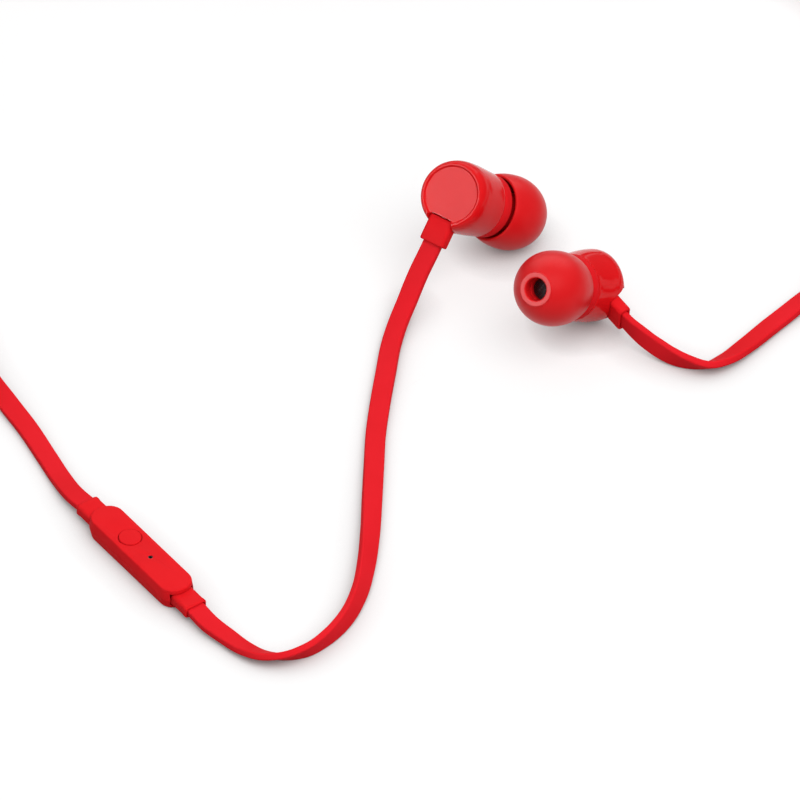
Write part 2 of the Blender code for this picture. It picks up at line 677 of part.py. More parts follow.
def left_cable(frame):
    """Earbud to remote: down to the surface, a long sweep, and a half twist into the remote."""
    rows = exit_rows(frame, LEFT_TWIST, -9)
    rows += [
        (44.5, 63.9, 5.1, -12),
        (43.5, 62.2, 3.4, -13),
        (42.7, 60.5, 2.1, -14),
        (41.7, 58.1, 1.0, -15),
        (40.8, 55.3, 0.25, -14),
        (40.2, 52.7, 0.0, -12),
        (39.2, 45.3, 0.0, -8),
        (38.3, 38.0, 0.0, -3),
        (37.6, 30.7, 0.0, 4),
        (37.2, 23.0, 0.0, 16),
        (36.8, 14.5, 0.0, 30),
        (36.4, 6.4, 0.0, 42),
        (35.9, -1.2, 0.0, 55),
        (34.7, -8.5, 0.0, 72),
        (32.6, -14.6, 0.0, 86),
        (29.9, -18.6, 0.0, 97),
        (26.6, -21.8, 0.0, 116),
        (22.9, -23.4, 0.0, 136),
        (19.6, -22.8, 0.0, 150),
        (16.6, -20.8, 0.0, 163),
        (13.7, -18.0, 0.3, 174),
    ]
    rows += reversed(remote_rows(1, 180))
    return smooth_route(rows, CABLE_STEP * 0.75)


def left_lead():
    """Remote to splitter: along the surface, up on its edge and round into the splitter."""
    rows = remote_rows(-1, 0)
    rows += [
        (-13.0, 19.8, 0.2, 0),
        (-15.4, 25.3, 0.0, 0),
        (-18.3, 31.6, 0.0, 5),
        (-21.8, 38.0, 0.0, 15),
        (-25.6, 45.0, 0.0, 40),
        (-28.6, 54.0, 0.0, 70),
        (-30.3, 66.0, 0.0, 90),
        (-30.9, 82.0, 0.0, 90),
        (-31.2, 100.0, 0.0, 90),
        (-31.9, 118.0, 0.0, 90),
        (-33.0, 134.0, 0.0, 90),
        (-33.9, 145.0, 0.0, 90),
        (-33.6, 152.0, 0.2, 90),
        (-30.6, 157.8, 0.4, 90),
    ]
    rows += reversed(splitter_rows(1, -1))
    return smooth_route(rows, CABLE_STEP)


def right_lead(frame):
    """Earbud to splitter: on its edge, a short bend on the surface, then round the back."""
    rows = exit_rows(frame, RIGHT_TWIST, 123)
    rows += [
        (81.8, 50.7, 1.0, 106),
        (83.4, 49.6, 0.5, 100),
        (85.4, 48.3, 0.15, 90),
        (88.4, 46.9, 0.0, 66),
        (91.4, 46.5, 0.0, 42),
        (94.2, 48.3, 0.0, 25),
        (97.3, 51.7, 0.0, 12),
        (101.0, 56.2, 0.0, 6),
        (105.5, 61.4, 0.0, 10),
        (110.5, 67.5, 0.0, 40),
        (114.2, 76.0, 0.0, 75),
        (115.4, 88.0, 0.0, 90),
        (114.2, 101.0, 0.0, 90),
        (113.0, 113.0, 0.0, 90),
        (113.8, 125.0, 0.0, 90),
        (112.0, 135.5, 0.0, 90),
        (105.5, 142.0, 0.0, 90),
        (95.0, 144.2, 0.0, 90),
        (78.0, 143.0, 0.0, 90),
        (60.0, 144.0, 0.0, 90),
        (40.0, 143.0, 0.0, 90),
        (20.0, 144.0, 0.0, 90),
        (0.0, 143.2, 0.0, 90),
        (-14.0, 142.8, 0.0, 90),
        (-24.0, 143.2, 0.0, 90),
        (-29.5, 146.0, 0.0, 90),
        (-31.2, 150.8, 0.2, 90),
        (-29.2, 155.6, 0.4, 90),
    ]
    rows += reversed(splitter_rows(-1, -1))
    return smooth_route(rows, CABLE_STEP)


def hank_loops():
    """Racetrack spiral in and out, drawn in at its waist, climbing a layer where it turns back."""
    cx, cy = HANK_CENTRE
    run_share = HANK_RUN / (2 * HANK_RUN + 2 * math.pi * (HANK_OUTER - HANK_PITCH * HANK_LOOPS / 4))
    total = HANK_LOOPS + run_share
    loop_steps = 2 * (HANK_RUN_STEPS + HANK_END_STEPS)
    samples = []
    for step in range(HANK_LOOPS * loop_steps + HANK_RUN_STEPS + 1):
        loop, place = divmod(step, loop_steps)
        back, place = divmod(place, HANK_RUN_STEPS + HANK_END_STEPS)
        way = -1 if back else 1
        on_run = min(place, HANK_RUN_STEPS) / HANK_RUN_STEPS
        on_end = max(place - HANK_RUN_STEPS, 0) / HANK_END_STEPS
        turns = loop + back / 2 + run_share * on_run + (0.5 - run_share) * on_end
        radius = HANK_OUTER - HANK_PITCH * min(turns, total - turns)
        waist = HANK_WAIST * (1 - math.cos(2 * math.pi * on_run)) / 2
        angle = QUARTER_TURN - math.pi * on_end
        x = HANK_RUN * (on_run - 0.5) + radius * math.cos(angle)
        y = radius * math.sin(angle) - (waist if place <= HANK_RUN_STEPS else 0.0)
        climb = min(max((turns - total / 2) / run_share + 0.5, 0.0), 1.0)
        climb = climb * climb * (3 - 2 * climb)
        z = HANK_LIFT + CABLE_WIDTH / 2 + HANK_LAYER * climb
        samples.append((Vector((cx + way * x, cy + way * y, z)), QUARTER_TURN))
    return samples


def main_hank():
    """Splitter to plug: an easy bend into the hank, its loops, and a run down to the plug."""
    middle = (SPLITTER_HALF + SPLITTER_GAP / 2) - CABLE_WIDTH / 2
    start = splitter_rows(0, 1)
    loops = hank_loops()
    first, last = loops[0][0], loops[-1][0]
    hank_lift = HANK_LIFT
    start += [
        (0.0, 160.4, middle, 90),
        (6.5, 164.4, hank_lift, 90),
        (13.5, 169.0, hank_lift, 90),
        (first.x, first.y, hank_lift, 90),
    ]
    lead_in = smooth_route(start, CABLE_STEP)[:-1]
    top = last.z - CABLE_WIDTH / 2
    low = PLUG_START[2] - CABLE_WIDTH / 2
    meet = PLUG_START[0] - MEET_GAP
    end = [
        (last.x, last.y, top, 90),
        (last.x + 6.0, PLUG_START[1], top, 90),
        (meet - 8.0, PLUG_START[1], (top + low) / 2, 90),
        (meet - CABLE_WIDTH, PLUG_START[1], low, 90),
        (meet, PLUG_START[1], low, 90),
    ]
    lead_out = smooth_route(end, 3.2)[1:]
    samples = lead_in + loops + lead_out
    print(f"main_hank: least gap to itself {least_gap(samples):.2f} mm")
    return samples


def least_gap(samples):
    """Least distance between the cable's corners and those of stretches over half a loop away."""
    apart = HANK_RUN_STEPS + HANK_END_STEPS
    places = np.array([position for position, _ in samples])
    ahead = np.gradient(places, axis=0)
    side = np.stack([ahead[:, 1], -ahead[:, 0], np.zeros(len(places))], axis=1)
    side /= np.linalg.norm(side, axis=1, keepdims=True)
    up = np.array([0.0, 0.0, 1.0])
    corners = np.stack([places + x * up + y * side for x, y in cable_section()], axis=1)
    least = math.inf
    for i in range(len(places) - apart):
        others = corners[i + apart :].reshape(-1, 3)
        distances = np.linalg.norm(corners[i][:, None] - others[None], axis=2)
        least = min(least, float(distances.min()))
    return least


def cable_tie():
    """A band round the waist of the hank, standing across its runs."""
    cx, cy = HANK_CENTRE
    thick = 0.4
    reach = HANK_OUTER - HANK_WAIST + 0.9
    tall = HANK_LIFT + HANK_LAYER + CABLE_WIDTH + 0.5
    curve = bpy.data.curves.new("cable_tie", "CURVE")
    curve.dimensions = "2D"
    curve.fill_mode = "BOTH"
    curve.extrude = 2.0 * MM
    for grow in (thick, 0.0):
        half_width, low, high = reach + grow, thick - grow, tall + grow
        corner = 1.2 + grow
        outline = arc((half_width - corner, high - corner), corner, 0, 90, 3)
        outline += arc((-half_width + corner, high - corner), corner, 90, 180, 3)
        outline += arc((-half_width + corner, low + corner), corner, 180, 270, 3)
        outline += arc((half_width - corner, low + corner), corner, 270, 360, 3)
        spline = curve.splines.new("POLY")
        spline.points.add(len(outline) - 1)
        for point, (x, y) in zip(spline.points, outline):
            point.co = (x * MM, y * MM, 0.0, 1.0)
        spline.use_cyclic_u = True
    band = bpy.data.objects.new("cable_tie", curve)
    placed(band, cx, cy, 0.0, (QUARTER_TURN, 0.0, QUARTER_TURN))
    add_part(band, BLACK_PLASTIC, None)


clear_scene()
PARTS = new_collection("wired_earphones")
CUTTERS = new_collection("cutters")
GLOSS_RED = finish("gloss_red_plastic", (0.78, 0.008, 0.011), 0.12)
SATIN_RED = finish("satin_red_plastic", (0.80, 0.012, 0.017), 0.42)
SILICONE_RED = finish("red_silicone", (0.74, 0.009, 0.012), 0.55)
CABLE_RED = finish("red_cable", (0.80, 0.014, 0.022), 0.5)
STEEL = finish("steel", (0.55, 0.55, 0.56), 0.35, 1.0)
NICKEL = finish("nickel", (0.72, 0.70, 0.66), 0.2, 1.0)
MAGNET = finish("magnet", (0.35, 0.35, 0.37), 0.3, 1.0)
COPPER = finish("copper_wire", (0.62, 0.27, 0.14), 0.35, 1.0)
FILM = finish("polymer_film", (0.75, 0.72, 0.65), 0.3)
BOARD_GREEN = finish("circuit_board", (0.03, 0.18, 0.07), 0.45)
BLACK_PLASTIC = finish("black_plastic", (0.02, 0.02, 0.02), 0.5)

LEFT_FRAME = earbud("left", LEFT_PLACE, LEFT_AXIS, LEFT_EXIT_AXIS, LEFT_BEND_TURN, LEFT_TWIST)
RIGHT_FRAME = earbud("right", RIGHT_PLACE, RIGHT_AXIS, RIGHT_EXIT_AXIS, RIGHT_BEND_TURN, RIGHT_TWIST)
remote()
splitter()
plug()
ribbon("left_cable", left_cable(LEFT_FRAME), CABLE_RED)
ribbon("left_lead", left_lead(), CABLE_RED)
ribbon("right_lead", right_lead(RIGHT_FRAME), CABLE_RED)
ribbon("main_hank", main_hank(), CABLE_RED)
cable_tie()
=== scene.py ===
"""Dresses the wired earphones: moulded shells, soft ear tips, flat cables, remote, splitter and plug."""

import json
import math

import bmesh
import bpy
import numpy as np
from mathutils import Matrix, Vector


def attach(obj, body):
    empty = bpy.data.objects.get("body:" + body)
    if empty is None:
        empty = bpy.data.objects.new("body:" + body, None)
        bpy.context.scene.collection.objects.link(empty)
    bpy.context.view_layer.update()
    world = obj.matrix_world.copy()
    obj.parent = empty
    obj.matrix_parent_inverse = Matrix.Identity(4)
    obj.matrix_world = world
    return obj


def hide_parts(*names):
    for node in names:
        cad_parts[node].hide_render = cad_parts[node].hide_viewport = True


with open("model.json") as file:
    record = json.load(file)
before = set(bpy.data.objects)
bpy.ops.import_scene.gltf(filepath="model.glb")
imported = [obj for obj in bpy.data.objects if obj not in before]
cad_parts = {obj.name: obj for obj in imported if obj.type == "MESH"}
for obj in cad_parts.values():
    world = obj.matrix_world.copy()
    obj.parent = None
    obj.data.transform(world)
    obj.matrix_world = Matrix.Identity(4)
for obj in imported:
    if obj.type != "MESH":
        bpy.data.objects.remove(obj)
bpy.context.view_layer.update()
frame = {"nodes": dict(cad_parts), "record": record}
SLOTS = {row["node"]: row["material_slot"] for row in frame["record"]["subparts"]}

MM = 0.001
UP = Vector((0.0, 0.0, 1.0))
QUARTER_TURN = math.pi / 2

# Earbud, in millimetres along its own bent axis from the rear face
SHELL_RADIUS = 5.9
SHELL_WIDEST = (3.6, 2.6)
SHELL_SEAM_RADIUS = 5.4
SHELL_LENGTH = 9.0
RIM_RADIUS = 5.0
BEND_START = 2.6
BEND_END = 5.7
BEND_ANGLE = math.radians(19.2)
SPIGOT_RADIUS = 4.7
SPIGOT_LOW = 8.35
CAVITY_RADIUS = 4.3
CAVITY_FLOOR = 1.0
DRIVER_LEDGE = 5.9
FRONT_RADIUS = 5.35
SHOULDER_Z = 11.2
NOZZLE_RADIUS = 2.5
NOZZLE_BORE = 1.85
NOZZLE_END = 19.6
SCREEN_PITCH = 0.24
SCREEN_WIRE = 0.055
SCREEN_SINK = 0.8
TIP_RADIUS = 6.15
TIP_RIM_RADIUS = 5.55
TIP_RIM_Z = 11.8
TIP_WIDEST_Z = 15.6
TIP_END_Z = 21.8
TIP_END_RADIUS = 2.83
TIP_END_RISE = 0.2
TIP_WALL = 0.6
TIP_BORE = 1.85
RELIEF_WIDTH = 4.6
RELIEF_INNER = 4.0
RELIEF_OUTER = 8.5
RELIEF_LOW = 0.7
RELIEF_THICK = 2.2
RELIEF_MIDDLE = RELIEF_LOW + RELIEF_THICK / 2
RELIEF_RECESS = 0.6
RELIEF_MOUTH = (3.4, 1.3, 0.5)
NOTCH_GAP = 0.15

# How each earbud lies: middle of its rear face, axis there, cable direction, turn of the bend, twist
LEFT_EARBUD = ((49.694, 70.92, 16.6), (0.3921, 0.5859, -0.7092), (-0.4221, -0.5704, -0.7046), -101.8, 0)
RIGHT_EARBUD = ((74.0, 62.349, 4.935), (-0.6974, -0.6036, 0.3864), (0.5894, -0.7898, -0.1698), 55.6, 26)

# Remote, along its own length
REMOTE_LENGTH = 24.0
REMOTE_WIDTH = 6.0
REMOTE_TOP_WIDTH = 5.6
REMOTE_HEIGHT = 3.8
REMOTE_PARTING = 1.85
REMOTE_CORNER = 2.5
REMOTE_WALL = 0.7
REMOTE_HEADING = math.atan2(-0.815, 0.579)
REMOTE_RELIEF = (3.3, 4.1, 2.1)
BUTTON_RADIUS = 1.85
BUTTON_FLANGE = 2.1
BUTTON_X = -3.1
MIC_X = 2.6
MIC_HOLE = 0.4

# Flat cable, splitter, hank and plug
CABLE_WIDTH = 3.3
CABLE_THICK = 1.2
CABLE_CORNER = 0.3
CABLE_REST = 0.06
CABLE_SEAT = 0.1 - RELIEF_RECESS
MEET_GAP = 0.3
SPLITTER_START = -20.0
SPLITTER_LENGTH = 10.0
SPLITTER_Y = 159.25
SPLITTER_HALF = 2.2
SPLITTER_GAP = 0.2
SPLITTER_MIDDLE = SPLITTER_HALF + SPLITTER_GAP / 2
LEAD_SPREAD = 2.5
HANK_CENTRE = (40.0, 158.0)
HANK_RUN = 40.0
HANK_OUTER = 12.5
HANK_PITCH = 2.0
HANK_LOOPS = 6
HANK_WAIST = 2.5
HANK_LIFT = 0.5
HANK_LAYER = 4.0
PLUG_START = (80.0, 170.5, 3.4)
PLUG_RELIEF = 7.0
PLUG_BODY = 13.7
PLUG_RADIUS = 3.3
JACK_RADIUS = 1.75
JACK_CORE = 0.95
JACK_CONTACTS = {"jack_sleeve": (-2.8, 5.2), "jack_inner_ring": (6.0, 7.6), "jack_outer_ring": (8.4, 9.9)}
JACK_INSULATORS = ((10.0, 10.6), (7.7, 8.3), (5.3, 5.9))


# Finishes


def maths_in(tree):
    """Function that adds a maths node to the tree and gives its result."""

    def maths(operation, first, second=None):
        node = tree.nodes.new("ShaderNodeMath")
        node.operation = operation
        for socket, value in zip(node.inputs, (first, second)):
            if isinstance(value, float):
                socket.default_value = value
            elif value is not None:
                tree.links.new(value, socket)
        return node.outputs[0]

    return maths


def tone_ramp(nodes, *tones):
    """Ramp between two (position, colour) tones."""
    ramp = nodes.new("ShaderNodeValToRGB")
    for element, (position, colour) in zip(ramp.color_ramp.elements, tones):
        element.position = position
        element.color = (*colour, 1.0)
    return ramp


def moulding_grain():
    """Shared fine grain of moulded plastic and rubber: a height and a soft tone that vary over it."""
    group = bpy.data.node_groups.new("moulding_grain", "ShaderNodeTree")
    for way, names in (("INPUT", ("Grain Scale", "Cloud Scale")), ("OUTPUT", ("Height", "Cloud"))):
        for name in names:
            group.interface.new_socket(name, in_out=way, socket_type="NodeSocketFloat")
    nodes, links = group.nodes, group.links
    entry = nodes.new("NodeGroupInput")
    result = nodes.new("NodeGroupOutput")
    place = nodes.new("ShaderNodeTexCoord")
    grain = nodes.new("ShaderNodeTexNoise")
    grain.inputs["Detail"].default_value = 3.0
    cloud = nodes.new("ShaderNodeTexNoise")
    cloud.inputs["Detail"].default_value = 2.0
    for texture, scale in ((grain, "Grain Scale"), (cloud, "Cloud Scale")):
        links.new(place.outputs["Object"], texture.inputs["Vector"])
        links.new(entry.outputs[scale], texture.inputs["Scale"])
    links.new(grain.outputs["Fac"], result.inputs["Height"])
    links.new(cloud.outputs["Fac"], result.inputs["Cloud"])
    return group


GRAIN = moulding_grain()
FINISHES = {}


def finish(name, deep, pale, roughness, grain, cloud=150.0, metallic=0.0, specular=0.5):
    """Surface that drifts slowly between two tones of its colour, with a grain of (depth, scale) in its normal."""
    material = bpy.data.materials.new(name)
    material.use_nodes = True
    nodes, links = material.node_tree.nodes, material.node_tree.links
    shader = nodes["Principled BSDF"]
    for socket, value in (("Roughness", roughness), ("Metallic", metallic), ("Specular IOR Level", specular)):
        shader.inputs[socket].default_value = value
    surface = nodes.new("ShaderNodeGroup")
    surface.node_tree = GRAIN
    surface.inputs["Grain Scale"].default_value = grain[1]
    surface.inputs["Cloud Scale"].default_value = cloud
    bump = nodes.new("ShaderNodeBump")
    bump.inputs["Strength"].default_value = 1.0
    bump.inputs["Distance"].default_value = grain[0]
    links.new(surface.outputs["Height"], bump.inputs["Height"])
    links.new(bump.outputs["Normal"], shader.inputs["Normal"])
    tone = tone_ramp(nodes, (0.35, deep), (0.65, pale))
    links.new(surface.outputs["Cloud"], tone.inputs["Fac"])
    links.new(tone.outputs["Color"], shader.inputs["Base Color"])
    FINISHES[name] = material


finish("gloss_red_plastic", (0.76, 0.007, 0.010), (0.80, 0.009, 0.012), 0.1, (2e-7, 900.0), specular=0.1)
finish("satin_red_plastic", (0.78, 0.011, 0.016), (0.82, 0.013, 0.018), 0.55, (5e-6, 9000.0), 160.0, specular=0.025)
finish("red_silicone", (0.72, 0.008, 0.011), (0.76, 0.010, 0.013), 0.36, (3e-6, 7000.0), 140.0, specular=0.16)
finish("red_cable", (0.78, 0.013, 0.020), (0.82, 0.015, 0.024), 0.55, (6e-6, 6000.0), 90.0, specular=0.02)
finish("steel", (0.52, 0.52, 0.53), (0.58, 0.58, 0.59), 0.35, (6e-7, 9000.0), metallic=1.0)
# Nozzle screen steel darkened to near black: painted shade of the deep bore behind it.
finish("screen_steel_painted_bore_shade", (0.045, 0.045, 0.050), (0.055, 0.055, 0.060), 0.5, (1e-6, 9000.0), metallic=1.0)
finish("nickel", (0.70, 0.68, 0.64), (0.74, 0.72, 0.68), 0.16, (2e-7, 3000.0), metallic=1.0)
finish("magnet", (0.33, 0.33, 0.35), (0.37, 0.37, 0.39), 0.3, (6e-7, 9000.0), metallic=1.0)
finish("copper_wire", (0.59, 0.25, 0.13), (0.65, 0.29, 0.15), 0.35, (1e-6, 9000.0), metallic=1.0)
finish("polymer_film", (0.73, 0.70, 0.63), (0.77, 0.74, 0.67), 0.3, (4e-7, 5000.0))
finish("circuit_board", (0.026, 0.165, 0.063), (0.034, 0.195, 0.077), 0.45, (2e-6, 9000.0))
finish("black_plastic", (0.018, 0.018, 0.018), (0.022, 0.022, 0.022), 0.5, (4e-6, 9000.0))


# Shaping helpers; sizes are in millimetres until a mesh is made


def rounded(corners, closed=False, steps=6):
    """Line through (x, y, radius) corners, with an arc of that radius at each corner."""
    line = []
    count = len(corners)
    for i, (x, y, radius) in enumerate(corners):
        here = Vector((x, y))
        if radius <= 0 or (not closed and i in (0, count - 1)):
            line.append((x, y))
            continue
        before = (Vector(corners[i - 1][:2]) - here).normalized()
        after = (Vector(corners[(i + 1) % count][:2]) - here).normalized()
        half = before.angle(after) / 2
        if half > math.radians(89):
            line.append((x, y))
            continue
        reach = radius / math.tan(half)
        centre = here + (before + after).normalized() * (radius / math.sin(half))
        start = here + before * reach - centre
        sweep = math.pi - 2 * half
        if before.x * after.y - before.y * after.x > 0:
            sweep = -sweep
        for k in range(steps + 1):
            a = sweep * k / steps
            x = start.x * math.cos(a) - start.y * math.sin(a)
            y = start.x * math.sin(a) + start.y * math.cos(a)
            line.append((centre.x + x, centre.y + y))
    return line


def refined(line, step):
    """The same line with no stretch longer than step."""
    result = [line[0]]
    for (x0, y0), (x1, y1) in zip(line, line[1:]):
        parts = max(1, math.ceil(math.hypot(x1 - x0, y1 - y0) / step))
        result += [(x0 + (x1 - x0) * k / parts, y0 + (y1 - y0) * k / parts) for k in range(1, parts + 1)]
    return result


def mesh_from(name, verts, faces):
    """Mesh with doubled points merged and its faces turned outward."""
    mesh = bpy.data.meshes.new(name)
    mesh.from_pydata(verts, [], faces)
    bm = bmesh.new()
    bm.from_mesh(mesh)
    bmesh.ops.remove_doubles(bm, verts=bm.verts, dist=1e-7)
    bmesh.ops.dissolve_degenerate(bm, edges=bm.edges, dist=1e-7)
    bmesh.ops.recalc_face_normals(bm, faces=bm.faces)
    bm.to_mesh(mesh)
    bm.free()
    return mesh


def smooth(mesh, angle):
    """Smooth shading that keeps edges sharper than the angle, in degrees."""
    mesh.shade_smooth()
    mesh.set_sharp_from_angle(angle=math.radians(angle))
    return mesh


def turned_mesh(name, line, segments=96, closed=False):
    """Mesh of a line of (radius, height) points turned about Z."""
    verts, rings = [], []
    for radius, height in line:
        if radius < 1e-6:
            rings.append([len(verts)] * segments)
            verts.append((0.0, 0.0, height * MM))
            continue
        rings.append(range(len(verts), len(verts) + segments))
        for k in range(segments):
            a = 2 * math.pi * k / segments
            verts.append((radius * MM * math.cos(a), radius * MM * math.sin(a), height * MM))
    faces = []
    pairs = list(zip(rings, rings[1:]))
    if closed:
        pairs.append((rings[-1], rings[0]))
    for low, high in pairs:
        for k in range(segments):
            n = (k + 1) % segments
            corners = [low[k], low[n], high[n], high[k]]
            face = [c for i, c in enumerate(corners) if c not in corners[:i]]
            if len(face) > 2:
                faces.append(face)
    return mesh_from(name, verts, faces)


def ring_faces(rings, count, closed=False):
    """Faces between rings of count points, with a face at each end, or closed from last ring to first."""
    faces = []
    for r in range(rings if closed else rings - 1):
        s = (r + 1) % rings
        for k in range(count):
            n = (k + 1) % count
            faces.append((r * count + k, r * count + n, s * count + n, s * count + k))
    if not closed:
        faces += [tuple(range(count)), tuple(range((rings - 1) * count, rings * count))]
    return faces


def lofted_mesh(name, rings, closed=False):
    """Mesh through rings of equally many points (Vectors in mm)."""
    verts = [point * MM for ring in rings for point in ring]
    return mesh_from(name, verts, ring_faces(len(rings), len(rings[0]), closed))


def plan(length, width, corner, steps=10):
    """Outline of a rounded rectangle, as (x, y) points."""
    x, y = length / 2, width / 2
    corner = min(corner, x - 0.01, y - 0.01)
    corners = [(x, y, corner), (-x, y, corner), (-x, -y, corner), (x, -y, corner)]
    return rounded(corners, closed=True, steps=steps)


def slab_mesh(name, levels, steps=10):
    """Mesh of (height, length, width, corner) levels, each a rounded rectangle."""
    rings = []
    for z, length, width, corner in levels:
        rings.append([Vector((x, y, z)) for x, y in plan(length, width, corner, steps)])
    return lofted_mesh(name, rings)


def soft_levels(low, high, bottom, top, corner, low_round, high_round, steps=5):
    """Levels of a slab from bottom to top size, with rounded rims."""
    rows = []
    for k in range(steps + 1):
        a = QUARTER_TURN * k / steps
        rows.append((low + low_round * (1 - math.cos(a)), low_round * (1 - math.sin(a))))
    for k in range(steps + 1):
        a = QUARTER_TURN * k / steps
        rows.append((high - high_round * (1 - math.sin(a)), high_round * (1 - math.cos(a))))
    levels = []
    for z, inset in rows:
        t = (z - low) / (high - low)
        length, width = (a + (b - a) * t - 2 * inset for a, b in zip(bottom, top))
        levels.append((z, length, width, max(corner - inset, 0.05)))
    return levels


def linked(name, data):
    """New object in the scene."""
    obj = bpy.data.objects.new(name, data)
    bpy.context.scene.collection.objects.link(obj)
    return obj


def baked(obj):
    """Plain mesh of an object with its modifiers applied."""
    bpy.context.view_layer.update()
    return bpy.data.meshes.new_from_object(obj.evaluated_get(bpy.context.evaluated_depsgraph_get()))


def placed(name, mesh, slot, body="set", look=None):
    """A finished piece at the origin, in the finish of its slot, riding its body."""
    mesh.materials.clear()
    mesh.materials.append(look or FINISHES[slot])
    obj = linked(name, mesh)
    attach(obj, body)
    return obj


def piece(name, mesh, node, matrix=None, body="set", look=None):
    """A finished piece in place of a CAD node."""
    if matrix is not None:
        mesh.transform(matrix)
    obj = placed(name, mesh, SLOTS[node], body, look)
    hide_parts(node)
    return obj


def carved(mesh, cutters, edge=0.0):
    """The mesh with cutter meshes taken out of it, and its sharp edges eased."""
    body = linked("carving", mesh)
    tools = [linked("cutter", cutter) for cutter in cutters]
    for tool in tools:
        boolean = body.modifiers.new("Cut", "BOOLEAN")
        boolean.operation = "DIFFERENCE"
        boolean.object = tool
    if edge:
        bevel = body.modifiers.new("Ease", "BEVEL")
        bevel.limit_method = "ANGLE"
        bevel.angle_limit = math.radians(50)
        bevel.width = edge * MM
        bevel.segments = 2
    result = baked(body)
    for obj in (body, *tools):
        bpy.data.objects.remove(obj, do_unlink=True)
    return result


# Earbuds


def earbud_matrix(place, axis, exit_axis):
    """Placement of an earbud's rear face, with Z along its axis and X to its cable."""
    z = Vector(axis).normalized()
    y = z.cross(Vector(exit_axis)).normalized()
    x = y.cross(z)
    return Matrix.Translation(Vector(place) * MM) @ Matrix((x, y, z)).transposed().to_4x4()


def leaned(middle, angle, bend_turn):
    """Placement of a slice that has come to a point in metres and leans over to the side of the bend."""
    heading = Matrix.Rotation(bend_turn, 4, "Z")
    return heading @ Matrix.Translation(middle) @ Matrix.Rotation(angle, 4, "Y") @ heading.inverted()


def bend_matrix(height, bend_turn):
    """Placement of a slice at a height (mm) along the bent axis."""
    span = BEND_END - BEND_START
    radius = span / BEND_ANGLE
    angle = BEND_ANGLE * min(max((height - BEND_START) / span, 0.0), 1.0)
    side = radius * (1 - math.cos(angle))
    rise = min(height, BEND_START) + radius * math.sin(angle)
    beyond = max(height - BEND_END, 0.0)
    middle = Vector((side + beyond * math.sin(angle), 0.0, rise + beyond * math.cos(angle))) * MM
    return leaned(middle, angle, bend_turn)


def sweep_matrix(height, bend_turn):
    """Placement of a slice of the outer wall, which curves evenly from the rear face to the straight front."""
    knee = (BEND_END - BEND_START) / BEND_ANGLE * math.tan(BEND_ANGLE / 2)
    low, high = BEND_START + knee, BEND_END - knee
    if height >= low + high:
        return bend_matrix(height, bend_turn)
    angle = BEND_ANGLE * height / (low + high)
    radius = low / math.tan(BEND_ANGLE / 2) * MM
    middle = Vector((radius * (1 - math.cos(angle)), 0.0, radius * math.sin(angle)))
    return leaned(middle, angle, bend_turn)


def sleeve_turn(twist):
    """Turn of the cable sleeve about its own length."""
    middle = Vector((0.0, 0.0, RELIEF_MIDDLE * MM))
    return Matrix.Translation(middle) @ Matrix.Rotation(twist, 4, "X") @ Matrix.Translation(-middle)


def rear_shell_mesh(bend_turn, twist):
    """Polished barrel: soft outer edge, thin raised rim, dished face and the notch for the cable."""
    inner = SPIGOT_RADIUS + 0.1
    front_wide, rear_wide = SHELL_WIDEST
    taper = SHELL_LENGTH - 0.15 - front_wide
    line = [(0.0, CAVITY_FLOOR), (CAVITY_RADIUS, CAVITY_FLOOR), (CAVITY_RADIUS, DRIVER_LEDGE)]
    line += [(inner, DRIVER_LEDGE), (inner, SHELL_LENGTH)]
    line += [(SHELL_SEAM_RADIUS - 0.12, SHELL_LENGTH), (SHELL_SEAM_RADIUS - 0.04, SHELL_LENGTH - 0.03)]
    for k in range(21):
        share = 1 - k / 20
        narrower = (SHELL_RADIUS - SHELL_SEAM_RADIUS) * share**1.5
        line.append((SHELL_RADIUS - narrower, front_wide + taper * share))
    for k in range(25):
        a = QUARTER_TURN * (1 - k / 24)
        swell = (SHELL_RADIUS - RIM_RADIUS) * math.sin(a)
        line.append((RIM_RADIUS + swell, rear_wide * (1 - math.cos(a))))
    dish = [
        (RIM_RADIUS, 0.0, 0),
        (RIM_RADIUS - 0.2, 0.0, 0.1),
        (RIM_RADIUS - 0.42, 0.26, 0.16),
        (3.6, 0.27, 1.2),
        (0.0, 0.2, 0),
    ]
    line += rounded(dish, steps=8)[1:]
    mesh = turned_mesh("rear_shell", refined(line, 0.4), 144)
    for vert in mesh.vertices:
        x, y, z = vert.co / MM
        hollow = z >= CAVITY_FLOOR and math.hypot(x, y) <= inner + 0.01
        slice_at = bend_matrix if hollow else sweep_matrix
        vert.co = slice_at(z, bend_turn) @ (Vector((x, y, 0.0)) * MM)
    reach = RELIEF_OUTER - RELIEF_INNER + 2.0
    width = RELIEF_WIDTH + 2 * NOTCH_GAP
    top = RELIEF_LOW + RELIEF_THICK + NOTCH_GAP
    notch = slab_mesh("notch", [(-1.0, reach, width, 0.95), (top, reach, width, 0.95)])
    notch.transform(Matrix.Translation(Vector((RELIEF_INNER - NOTCH_GAP + reach / 2, 0, 0)) * MM))
    notch.transform(sleeve_turn(twist))
    return smooth(carved(mesh, [notch], edge=0.07), 38)


